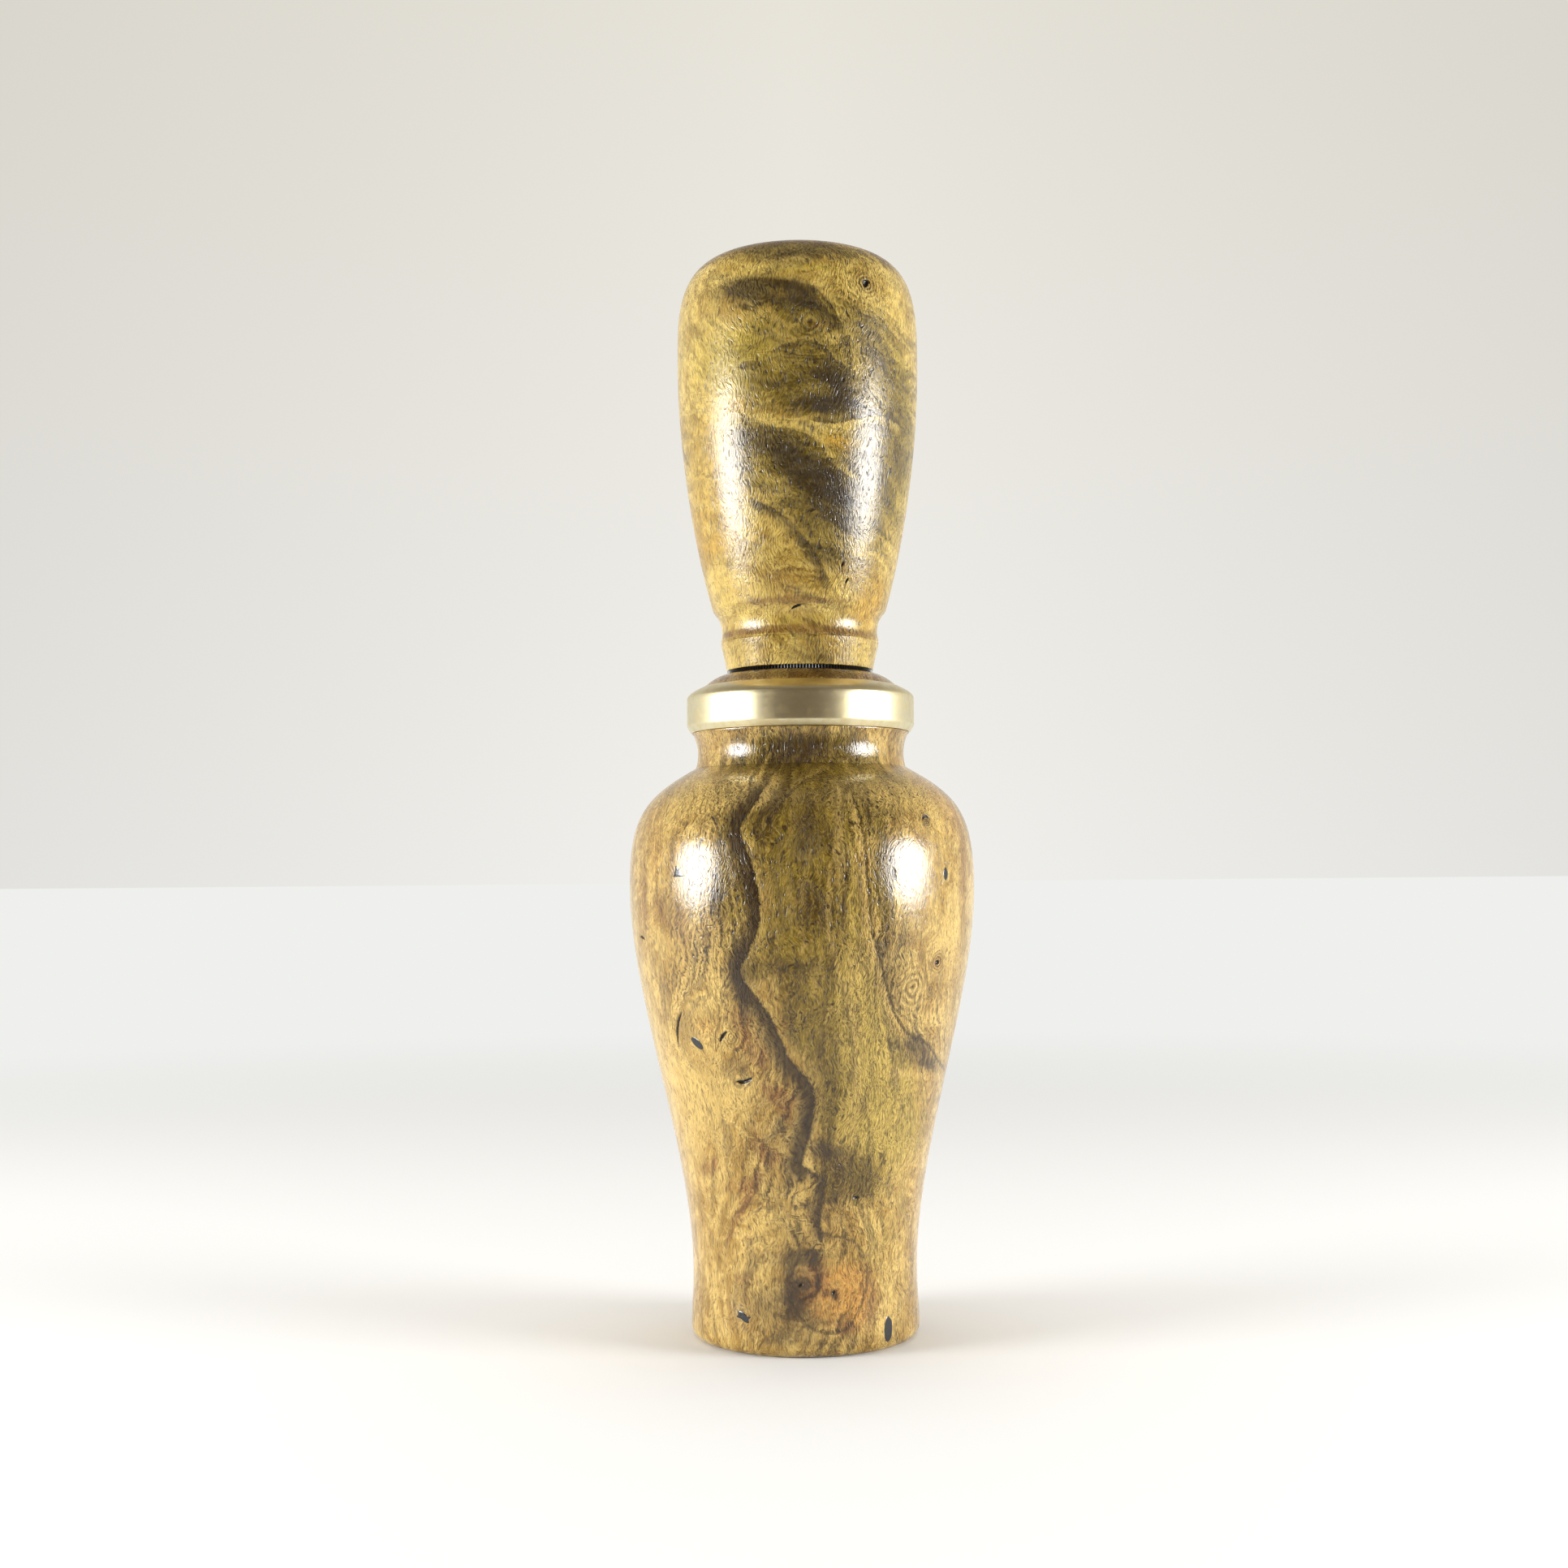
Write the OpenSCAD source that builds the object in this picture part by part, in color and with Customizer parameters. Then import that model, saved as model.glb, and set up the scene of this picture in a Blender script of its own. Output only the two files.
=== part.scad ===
// Duck call: a turned burl barrel with a brass band, and a turned insert that plugs into its top.
// Inside, the insert carries a sleeve with two O-rings, a tone board, two reeds and a cork wedge.
// The call stands on its mouthpiece rim. The origin is the middle of that rim, on the surface it
// stands on. +Z runs up the bore towards the exhaust end, and the front is -Y. Millimetres.

/* [Barrel] */
// Height of the wood, from the rim to its domed end
barrel_h = 82.05; // [81.6:0.05:83]
// Radius of the belly, the widest place
belly_r = 21.57; // [19:0.01:24]
// Height of the belly
belly_z = 55.5; // [52:0.5:58]
// Radius of the waist above the foot
waist_r = 13.92; // [13.2:0.01:15]
// Height of the waist
waist_z = 8; // [6:0.5:10]
// Radius of the foot at its widest
foot_r = 14.15; // [13.6:0.01:16]
// Rounding of the foot's lower edge
foot_round = 1.4; // [0.8:0.1:2]
// Radius of the crease where the shoulder meets the neck
crease_r = 13.22; // [12.8:0.01:14]
// Height of that crease
crease_z = 70.3; // [69.5:0.1:71]
// Radius of the wood's domed end at its flat top
dome_top_r = 9.5; // [8.8:0.1:10.5]

/* [Mouthpiece] */
// Radius of the throat that the air enters through
throat_r = 6.35; // [5.5:0.05:7]
// Height of the throat's upper end
throat_top_z = 11.4; // [9:0.1:12]
// Radius of the mouth where it meets the rim
mouth_r = 9.6; // [8.5:0.1:10.5]
// Depth of the flared mouth
mouth_depth = 3.6; // [2:0.1:5]

/* [Brass band] */
// Outer radius of the band
band_r = 14.3; // [14:0.05:15]
// Inner radius of the band
band_bore_r = 12.15; // [11.8:0.05:12.5]
// Height of the band's lower edge
band_z = 74.7; // [74:0.1:75.2]
// Height of the band's top edge, where the wood's dome carries on
band_top_z = 80.55; // [80.2:0.05:80.9]
// Height of the bevel round the lower edge
band_bevel = 0.85; // [0.4:0.05:1.2]

/* [Bore and tenon] */
// Radius of the bore that takes the insert's tenon
bore_r = 7.94; // [7.9:0.01:8.1]
// Height where that bore ends above the throat
bore_floor_z = 13; // [12.5:0.1:15]
// Radius of the tenon sleeve
tenon_r = 7.85; // [7.8:0.01:7.88]
// Height of the tenon sleeve's lower end
tenon_z = 62; // [60:0.5:63]
// Radius of the knurled collar that shows as a black line
collar_r = 9.2; // [8.8:0.05:9.4]
// Thickness of that collar
collar_t = 0.5; // [0.4:0.05:0.8]
// Radius of the spigot glued into the insert
spigot_r = 6.5; // [6.2:0.05:7]
// Length of that spigot
spigot_l = 9.95; // [8:0.05:12]
// Radius of the sleeve's bore
sleeve_bore_r = 4.81; // [4.7:0.01:5]

/* [O-rings] */
// Height of the lower O-ring groove
lower_groove_z = 67; // [65:0.5:70]
// Height of the upper O-ring groove
upper_groove_z = 77; // [74:0.5:78]
// Width of a groove
groove_w = 2.4; // [2.2:0.05:2.6]
// Radius of a groove's floor
groove_r = 6.35; // [6.2:0.05:6.5]
// Height of an O-ring's squeezed section
ring_w = 2; // [1.8:0.05:2.1]

/* [Insert] */
// Height of the insert's top
top_z = 134.9; // [130:0.1:140]
// Radius of the insert at its widest
insert_r = 15.2; // [14:0.05:16]
// Height where the flare reaches that radius
flare_top_z = 121; // [119:0.5:123]
// Radius of the lip above the foot
lip_r = 9.98; // [9.8:0.01:10.3]
// Height of that lip
lip_z = 86.2; // [85.9:0.1:86.8]
// Radius of the upper edge of the lanyard cove
cove_top_r = 10.85; // [10.5:0.01:11.2]
// Height of that edge
cove_top_z = 89.95; // [89.5:0.05:90.5]
// Radius of the exhaust bore
exhaust_r = 5.55; // [5.3:0.01:5.7]
// Radius of the exhaust mouth
exhaust_mouth_r = 6.9; // [6:0.1:8]
// Radius of the flat ring round the exhaust mouth
exhaust_flat_r = 7.5; // [7:0.1:9]

/* [Tone board and reeds] */
// Radius of the rod that the tone board is cut from
board_r = 4.76; // [4.6:0.01:4.78]
// Height of the board's free tip
board_tip_z = 17.5; // [16.5:0.5:22]
// Height of the board's upper end
board_top_z = 81; // [78:0.5:82]
// Height of the back wall of the wedge notch
notch_top_z = 71; // [70:0.5:72]
// Height of the edge that the reeds bend over
reed_edge_z = 61; // [60:0.5:61.5]
// Radius of the air channel along the board
channel_r = 2.3; // [2:0.1:2.6]
// Curve of the board's face: how far it falls away per square millimetre
face_curve = 0.00083; // [0.0005:0.00001:0.001]
// Width of the reeds
reed_w = 9; // [8:0.1:9.1]
// Height of the long reed's tip
long_tip_z = 16; // [15.5:0.1:17]
// Height of the short reed's tip
short_tip_z = 21; // [19:0.1:23]
// Thickness of the long reed
long_t = 0.36; // [0.25:0.01:0.4]
// Thickness of the short reed
short_t = 0.25; // [0.2:0.01:0.3]

/* [Resin fills] */
// Depth of the black resin in the burl's voids
fill_depth = 1.6; // [1:0.1:2.5]

/* [Fits] */
// Glue line between parts that are fixed together
glue = 0.05; // [0.03:0.01:0.08]
// Gap between the insert's collar and the barrel's end
seat_gap = 0.03; // [0.02:0.01:0.05]

/* [Hidden] */
$fn = 96;
eps = 0.02;

collar_z = barrel_h + seat_gap;
insert_z = collar_z + collar_t;
spigot_top_z = insert_z + spigot_l;
seat_r = band_bore_r - glue;
ring_gap = 0.02;
ring_in_r = groove_r + ring_gap;
ring_out_r = bore_r - ring_gap;

// The reeds lie on the -Y side of the board, side by side with small gaps.
face_y = -0.3;
reed_lift = 0.12;
tail_relief = 0.35;
reed_tail_z = notch_top_z - 0.2;
long_y = face_y - reed_lift;
short_y = long_y - long_t - 0.04;
cork_y = short_y - short_t - 0.27;

wood_gold = [0.72, 0.55, 0.28];
wood_green = [0.60, 0.50, 0.29];
brass = [0.80, 0.73, 0.55];
resin_black = [0.06, 0.06, 0.07];
acetal_black = [0.08, 0.08, 0.08];
rubber_black = [0.05, 0.05, 0.05];
board_ivory = [0.88, 0.86, 0.78];
cork_brown = [0.66, 0.49, 0.32];
reed_clear = [0.86, 0.86, 0.82];

// A cubic curve through p[0] and p[3], pulled towards p[1] and p[2], as n + 1 points.
function bezier(p, n) = [for (i = [0:n]) let (t = i / n, u = 1 - t)
    u*u*u * p[0] + 3*u*u*t * p[1] + 3*u*t*t * p[2] + t*t*t * p[3]];

// The same without its first point, to carry on from the curve before.
function more(points) = [for (i = [1:len(points) - 1]) points[i]];

// Quarter circle of radius r from the bottom point to the outer point of a rounded edge.
function edge_round(x, z, r, n) = [for (i = [0:n]) let (a = -90 + 90 * i / n)
    [x - r + r * cos(a), z + r + r * sin(a)]];

// ---- Outlines ----
//
// A place is a radius and a height. Each stretch is a curve between two places, and the pull that
// shapes it at each end is given as its step in radius and height away from that end.

function stretch(from, from_pull, to_pull, to, n) =
    bezier([from, from + from_pull, to + to_pull, to], n);

foot = [foot_r, foot_round];
waist = [waist_r, waist_z];
belly = [belly_r, belly_z];
crease = [crease_r, crease_z];
shelf = [crease_r + 0.38, band_z];
seat_top = [seat_r, band_top_z + glue / 2];
dome_top = [dome_top_r, barrel_h];
throat = [throat_r, mouth_depth];
mouth_edge = [mouth_r, 0];
bore_chamfer = 0.35;

barrel_side = concat(
    edge_round(foot_r, 0, foot_round, 6),
    more(stretch(foot, [0, 2], [0, -2.4], waist, 4)),
    more(stretch(waist, [0, 14.9], [0, -13.94], belly, 24)),
    more(stretch(belly, [0, 9.04], [belly_r - crease_r - 1.96, -3.57], crease, 14)),
    more(stretch(crease, [-0.47, 1.3], [-0.75, -1.3], shelf, 6)));

barrel_dome = stretch(seat_top, [-0.8, 0.72], [0.9, -0.2], dome_top, 6);

barrel_hole = concat(
    [[bore_r + bore_chamfer, barrel_h], [bore_r, barrel_h - bore_chamfer], [bore_r, bore_floor_z],
     [throat_r, throat_top_z]],
    stretch(throat, [0, -mouth_depth / 2], [-1.4, 0.5], mouth_edge, 6));

barrel_outline = concat(barrel_side, [[seat_r, band_z]], barrel_dome, barrel_hole);

band_bevel_w = 0.5;
band_shoulder = [band_r, band_top_z - 1.49];
band_top = [band_bore_r, band_top_z];

band_outline = concat(
    [[band_bore_r, band_z + glue], [band_r - band_bevel_w, band_z + glue],
     [band_r, band_z + band_bevel]],
    stretch(band_shoulder, [-0.2, 0.59], [band_r - band_bore_r - 1.1, -0.45], band_top, 6));

insert_foot = [collar_r, insert_z];
lip = [lip_r, lip_z];
cove_top = [cove_top_r, cove_top_z];
widest = [insert_r, flare_top_z];
flat_edge = [exhaust_flat_r, top_z];
exhaust_round = exhaust_flat_r - exhaust_mouth_r;
exhaust_mouth = [exhaust_mouth_r, top_z - exhaust_round];
exhaust_taper_end = [exhaust_r, top_z - 18];

insert_side = concat(
    stretch(insert_foot, [0.25, 1.3], [-0.18, -1], lip, 4),
    more(stretch(lip, [-0.28, 1], [-1, -0.95], cove_top, 6)),
    more(stretch(cove_top, [1.69, 5.6], [0, -12.52], widest, 16)),
    more(stretch(widest, [0, 6], [insert_r + 0.5 - exhaust_flat_r, 0], flat_edge, 14)));

exhaust = concat(
    [for (i = [1:4]) let (a = 90 + 90 * i / 4)
        [exhaust_flat_r + exhaust_round * cos(a), top_z - exhaust_round + exhaust_round * sin(a)]],
    more(stretch(exhaust_mouth, [-0.3, -6.4], [0, 7], exhaust_taper_end, 8)));

insert_outline = concat(
    insert_side, exhaust,
    [[exhaust_r, spigot_top_z + glue], [spigot_r + glue, spigot_top_z + glue],
     [spigot_r + glue, insert_z]]);

// ---- Resin fills ----
//
// Each place is [turn about Z from the front, height, tilt, the barrel's radius there].

left_shoulder = [-42.5, 57.2, 0, 21.5];
right_shoulder = [52.7, 56.9, -2, 21.5];
left_oval = [-41.7, 37.1, -34, 18.9];
front_foot = [-32.2, 4.5, 0, 13.95];
rim = [44.3, 2.6, 0, 14.05];
back_belly = [158, 47, 18, 20.85];
back_waist = [-146, 21, -12, 15.4];

module spindle_shape(w, h) {
    polygon([for (a = [0:20:340]) [w / 2 * cos(a) * (1 - 0.35 * abs(sin(a))), h / 2 * sin(a)]]);
}

module oval_shape(w, h) {
    polygon([for (a = [0:18:342]) [w / 2 * cos(a), h / 2 * sin(a)]]);
}

module left_shoulder_shape() {
    polygon([[-0.85, -0.54], [0.1, -0.5], [0.85, -0.4], [0.5, 0.1], [0.38, 0.54],
             [0, 0.4], [-0.47, 0.8], [-0.6, 0.07]]);
}

module front_foot_shape() {
    polygon([[-1.05, 0.88], [-0.64, 0.27], [-0.9, -0.1], [-0.32, -0.27], [0.32, -0.61],
             [0.88, -0.68], [0.85, -0.27], [1.2, 0.07], [0.75, -0.02], [0.32, 0.34],
             [-0.16, 0.54], [-0.61, 0.61]]);
}

module rim_shape() {
    polygon([[-0.13, -1.5], [0.25, -1.33], [0.53, -0.85], [0.72, 0.11], [0.63, 0.93],
             [0.1, 1.52], [-0.32, 1.2], [-0.61, 0.38], [-0.67, -0.58], [-0.51, -1.26]]);
}

// A pocket of the given depth under the barrel's surface, in the place where a fill sits. It runs
// out past the surface.
module pocket(place, depth) {
    past_skin = 1.5;
    rotate([0, 0, place[0]])
        translate([0, -place[3] + depth, place[1]])
            rotate([90, 0, 0])
                rotate([0, 0, place[2]])
                    linear_extrude(height = depth + past_skin)
                        children();
}

// Each fill's pocket: its place and its outline.
module fill_left_shoulder_pocket(depth) {
    pocket(left_shoulder, depth) left_shoulder_shape();
}

module fill_right_shoulder_pocket(depth) {
    pocket(right_shoulder, depth) spindle_shape(1, 1.6);
}

module fill_left_oval_pocket(depth) {
    pocket(left_oval, depth) oval_shape(2.1, 0.95);
}

module fill_front_foot_pocket(depth) {
    pocket(front_foot, depth) front_foot_shape();
}

module fill_rim_pocket(depth) {
    pocket(rim, depth) rim_shape();
}

module fill_back_belly_pocket(depth) {
    pocket(back_belly, depth) spindle_shape(1.3, 3);
}

module fill_back_waist_pocket(depth) {
    pocket(back_waist, depth) oval_shape(1.2, 1.9);
}

module barrel_wood() {
    rotate_extrude() polygon(barrel_outline);
}

// ---- Parts ----

module barrel() {
    color(wood_gold)
        difference() {
            barrel_wood();
            fill_left_shoulder_pocket(fill_depth + glue);
            fill_right_shoulder_pocket(fill_depth + glue);
            fill_left_oval_pocket(fill_depth + glue);
            fill_front_foot_pocket(fill_depth + glue);
            fill_rim_pocket(fill_depth + glue);
            fill_back_belly_pocket(fill_depth + glue);
            fill_back_waist_pocket(fill_depth + glue);
        }
}

module brass_band() {
    color(brass) rotate_extrude() polygon(band_outline);
}

// A fill is what the barrel's own surface leaves of its pocket.
module resin_fill() {
    color(resin_black)
        intersection() {
            barrel_wood();
            children();
        }
}

module insert_body() {
    color(wood_green) rotate_extrude() polygon(insert_outline);
}

module tenon_sleeve() {
    chamfer = 0.4;
    color(acetal_black)
        difference() {
            union() {
                translate([0, 0, tenon_z])
                    cylinder(r1 = tenon_r - chamfer, r2 = tenon_r, h = chamfer);
                translate([0, 0, tenon_z + chamfer])
                    cylinder(r = tenon_r, h = collar_z - tenon_z - chamfer);
                translate([0, 0, collar_z]) cylinder(r = collar_r, h = collar_t);
                translate([0, 0, insert_z]) cylinder(r = spigot_r, h = spigot_l);
            }
            translate([0, 0, tenon_z - 1]) cylinder(r = sleeve_bore_r, h = spigot_top_z - tenon_z + 2);
            groove(lower_groove_z);
            groove(upper_groove_z);
        }
}

// An O-ring groove cut round the sleeve at height z.
module groove(z) {
    translate([0, 0, z - groove_w / 2])
        difference() {
            cylinder(r = tenon_r + 1, h = groove_w);
            translate([0, 0, -1]) cylinder(r = groove_r, h = groove_w + 2);
        }
}

// A ring squeezed between the groove's floor and the bore: flat inside and out, round at its ends.
module o_ring(z) {
    section_r = (ring_out_r - ring_in_r) / 2;
    half_flat = ring_w / 2 - section_r;
    color(rubber_black)
        translate([0, 0, z])
            rotate_extrude()
                translate([ring_in_r + section_r, 0]) {
                    translate([0, half_flat]) circle(r = section_r, $fn = 32);
                    translate([0, -half_flat]) circle(r = section_r, $fn = 32);
                    square([2 * section_r, 2 * half_flat], center = true);
                }
}

// The space in front of the board's face, as Y and Z: open below the notch, relieved behind the
// edge that the reeds bend over, and falling away as a parabola towards the tip.
function face_fall(z) = face_y + face_curve * pow(reed_edge_z - z, 2);

front_space = concat(
    [[-board_r - 1, notch_top_z], [face_y + tail_relief, notch_top_z],
     [face_y + tail_relief, reed_edge_z + 0.8]],
    [for (i = [0:12]) let (z = reed_edge_z - (reed_edge_z - board_tip_z + 1) * i / 12)
        [face_fall(z), z]],
    [[-board_r - 1, board_tip_z - 1]]);

module tone_board() {
    channel_y = 0.5;
    channel_end_z = board_tip_z + 6.5;
    chamfer = 0.6;
    color(board_ivory)
        difference() {
            union() {
                translate([0, 0, board_tip_z])
                    cylinder(r1 = board_r - chamfer, r2 = board_r, h = chamfer);
                translate([0, 0, board_tip_z + chamfer])
                    cylinder(r = board_r, h = board_top_z - board_tip_z - chamfer);
            }
            across(board_r + 1) polygon(front_space);
            translate([0, channel_y, channel_end_z])
                cylinder(r = channel_r, h = board_top_z - channel_end_z + 1);
            translate([0, channel_y, channel_end_z]) sphere(r = channel_r);
        }
}

// Extrudes a Y-Z outline across the call, to half_w each side of the middle.
module across(half_w) {
    translate([-half_w, 0, 0])
        rotate([90, 0, 90])
            linear_extrude(height = 2 * half_w)
                children();
}

// The wedge fills the round sleeve in front of the reeds, and its lower edge is bevelled.
module cork_wedge() {
    end_gap = 0.3;
    bevel = [0.8, 0.6];
    cork_z = reed_edge_z + end_gap;
    cork_top_z = notch_top_z - end_gap;
    color(cork_brown)
        intersection() {
            translate([0, 0, cork_z]) cylinder(r = sleeve_bore_r - glue, h = cork_top_z - cork_z);
            across(board_r)
                polygon([[cork_y, cork_z + bevel[1]], [cork_y, cork_top_z],
                         [-board_r - 1, cork_top_z], [-board_r - 1, cork_z],
                         [cork_y - bevel[0], cork_z]]);
        }
}

// A thin strip on the -Y side of height y, from tip_z up to the notch, with rounded tip corners.
module reed(y, thickness, tip_z) {
    corner = 1.6;
    color(reed_clear)
        translate([0, y, 0])
            rotate([90, 0, 0])
                linear_extrude(height = thickness)
                    union() {
                        translate([-reed_w / 2, tip_z + corner])
                            square([reed_w, reed_tail_z - tip_z - corner]);
                        translate([-reed_w / 2 + corner, tip_z])
                            square([reed_w - 2 * corner, corner + eps]);
                        for (side = [-1, 1])
                            translate([side * (reed_w / 2 - corner), tip_z + corner])
                                circle(r = corner);
                    }
}

barrel();
brass_band();
resin_fill() fill_left_shoulder_pocket(fill_depth);  // fill_left_shoulder
resin_fill() fill_right_shoulder_pocket(fill_depth);  // fill_right_shoulder
resin_fill() fill_left_oval_pocket(fill_depth);  // fill_left_oval
resin_fill() fill_front_foot_pocket(fill_depth);  // fill_front_foot
resin_fill() fill_rim_pocket(fill_depth);  // fill_rim
resin_fill() fill_back_belly_pocket(fill_depth);  // fill_back_belly
resin_fill() fill_back_waist_pocket(fill_depth);  // fill_back_waist
insert_body();
tenon_sleeve();
tone_board();
cork_wedge();
o_ring(lower_groove_z);  // o_ring_lower
o_ring(upper_groove_z);  // o_ring_upper
reed(long_y, long_t, long_tip_z);  // long_reed
reed(short_y, short_t, short_tip_z);  // short_reed
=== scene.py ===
"""The looks of the duck call: burl barrel, brass band, burl insert and what the insert carries.

Lengths that describe the call are in millimetres in the tables below, and in metres once they are
meshes. A place on a turned part is (turn, height): degrees round from the front, towards +X, and
millimetres above the rim that the call stands on.
"""
import math

import bmesh
import bpy
import numpy as np
from mathutils import Matrix, Vector


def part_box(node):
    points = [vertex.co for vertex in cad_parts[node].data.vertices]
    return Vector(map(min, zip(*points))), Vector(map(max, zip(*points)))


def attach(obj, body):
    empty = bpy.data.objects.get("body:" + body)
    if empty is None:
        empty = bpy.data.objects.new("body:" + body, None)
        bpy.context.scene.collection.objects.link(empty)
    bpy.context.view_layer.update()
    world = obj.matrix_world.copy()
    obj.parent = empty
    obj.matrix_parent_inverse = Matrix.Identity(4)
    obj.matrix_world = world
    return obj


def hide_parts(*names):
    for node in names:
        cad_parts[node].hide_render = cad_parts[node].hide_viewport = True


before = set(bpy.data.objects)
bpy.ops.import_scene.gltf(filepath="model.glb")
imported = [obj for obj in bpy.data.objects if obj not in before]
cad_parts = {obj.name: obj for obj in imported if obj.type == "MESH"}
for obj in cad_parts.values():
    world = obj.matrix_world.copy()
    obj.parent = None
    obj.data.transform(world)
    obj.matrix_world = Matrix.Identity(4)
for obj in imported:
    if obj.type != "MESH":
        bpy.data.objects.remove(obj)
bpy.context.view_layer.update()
MM = 0.001


# ---------------------------------------------------------------- frame measures

def low(node):
    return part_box(node)[0] / MM


def high(node):
    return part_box(node)[1] / MM


BARREL_TOP = high("barrel").z
BELLY_R = high("barrel").x
BAND_R, BAND_LOW, BAND_TOP = high("brass_band").x, low("brass_band").z, high("brass_band").z
INSERT_LOW, INSERT_TOP, INSERT_R = low("insert_body").z, high("insert_body").z, high("insert_body").x
SLEEVE_LOW, SLEEVE_TOP, COLLAR_R = low("tenon_sleeve").z, high("tenon_sleeve").z, high("tenon_sleeve").x
COLLAR_LOW = BARREL_TOP + 0.03


# ---------------------------------------------------------------- outlines, as (radius, height)

def curve(p0, p1, p2, p3, step=0.5):
    """Points of a cubic curve about step apart, without its first point."""
    p = np.array([p0, p1, p2, p3], float)
    count = max(2, round(np.linalg.norm(np.diff(p, axis=0), axis=1).sum() / step))
    t = np.linspace(0, 1, count + 1)[1:, None]
    u = 1 - t
    return list(u**3 * p[0] + 3 * u * u * t * p[1] + 3 * u * t * t * p[2] + t**3 * p[3])


def straight(p0, p1, step=0.5):
    """Points along a straight stretch about step apart, without its first point."""
    p0, p1 = np.array(p0, float), np.array(p1, float)
    count = max(1, round(np.linalg.norm(p1 - p0) / step))
    return [p0 + (p1 - p0) * (i + 1) / count for i in range(count)]


def ends(p, before, after, reach):
    """The point p, and the points at reach from it towards those before and after it."""
    p, before, after = (np.array(q, float) for q in (p, before, after))
    return p, *(p + (q - p) / np.linalg.norm(q - p) * reach for q in (before, after))


def corner(p, before, after, r=0.12, count=3):
    """A small round edge at the corner p, between the points before and after it."""
    p, start, end = ends(p, before, after, r)
    return [start] + [(1 - t) ** 2 * start + 2 * t * (1 - t) * p + t * t * end
                      for t in np.linspace(0, 1, count + 2)[1:]]


def barrel_outline():
    foot, waist, crease = (14.15, 1.4), (13.92, 8.0), (13.22, 70.3)
    belly, shelf = (BELLY_R, 55.5), (13.6, 74.7)
    seat, dome = (12.1, 74.7), (9.5, BARREL_TOP)
    bore, floor, throat = 7.94, 13.0, 6.35
    points = [np.array((12.75, 0.0))]
    points += curve((12.75, 0), (13.55, 0), (14.15, 0.6), foot, 0.25)
    points += curve(foot, (14.15, 3.4), (13.92, 5.6), waist)
    points += curve(waist, (13.92, 22.9), (BELLY_R, 41.56), belly)
    points += curve(belly, (BELLY_R, 64.54), (BELLY_R - 1.96, 66.73), crease, 0.4)
    points += curve(crease, (12.75, 71.6), (12.85, 73.4), shelf, 0.3)
    points += corner(shelf, crease, seat) + straight(points[-1], seat, 1.0)
    points += straight(seat, (12.1, 80.57), 2.0)
    points += curve((12.1, 80.57), (11.3, 81.3), (10.4, 81.85), dome, 0.2)
    points += corner((bore + 0.35, BARREL_TOP), dome, (bore, BARREL_TOP - 0.35), 0.1)
    points += straight((bore, BARREL_TOP - 0.35), (bore, floor), 6.0)
    points += straight((bore, floor), (throat, 11.4), 1.0) + straight((throat, 11.4), (throat, 3.6), 2.0)
    points += curve((throat, 3.6), (throat, 1.8), (8.2, 0.5), (9.6, 0), 0.5)
    return points


def band_outline():
    inner, wall_top = 12.15, BAND_TOP - 1.49
    points = [np.array((inner, BAND_LOW))]
    points += corner((BAND_R - 0.5, BAND_LOW), (inner, BAND_LOW), (BAND_R, 75.55), 0.1)
    points += corner((BAND_R, 75.55), (BAND_R - 0.5, BAND_LOW), (BAND_R, wall_top), 0.18, 4)
    points += straight(points[-1], (BAND_R, wall_top), 0.5)
    points += curve((BAND_R, wall_top), (BAND_R - 0.2, BAND_TOP - 0.9), (BAND_R - 1.1, BAND_TOP - 0.45),
                    (inner, BAND_TOP), 0.15)
    return points


def groove(p, before, after, reach=0.16, depth=0.1):
    """A fine cut at the point p of an outline, between the points before and after it."""
    _, start, end = ends(p, before, after, reach)
    return [start, (start + end) / 2 - np.array((depth, 0.0)), end]


def insert_outline():
    foot, lip, cove = (COLLAR_R, INSERT_LOW), (9.98, 86.2), (10.85, 89.95)
    widest, flat, mouth = (INSERT_R, 121.0), (7.5, INSERT_TOP), (6.9, INSERT_TOP - 0.6)
    bore_r, bore_top = 5.55, INSERT_TOP - 18
    socket, socket_top = 6.55, SLEEVE_TOP + 0.05
    points = corner(foot, (socket, INSERT_LOW), lip, 0.1)
    points += curve(points[-1], (COLLAR_R + 0.25, INSERT_LOW + 1.3), (lip[0] - 0.18, lip[1] - 1),
                    lip, 0.4)[:-1]
    points += groove(lip, points[-1], (9.86, 86.6))
    points += curve(points[-1], (9.62, 87.2), (9.72, 88.9), (cove[0] - 0.12, cove[1] - 0.12), 0.16)[:-1]
    points += groove(cove, points[-1], (10.97, 90.4), 0.14, 0.05)
    points += curve(points[-1], (12.54, 95.55), (INSERT_R, 108.48), widest)
    points += curve(widest, (INSERT_R, 127), (INSERT_R + 0.5, INSERT_TOP), flat, 0.4)
    points += curve(flat, (7.2, INSERT_TOP), (6.9, INSERT_TOP - 0.3), mouth, 0.15)
    points += curve(mouth, (6.6, INSERT_TOP - 7), (bore_r, INSERT_TOP - 11), (bore_r, bore_top), 0.8)
    points += straight((bore_r, bore_top), (bore_r, socket_top), 4.0)
    points += [np.array((socket, socket_top)), np.array((socket, INSERT_LOW))]
    return points


# ---------------------------------------------------------------- meshes

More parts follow.
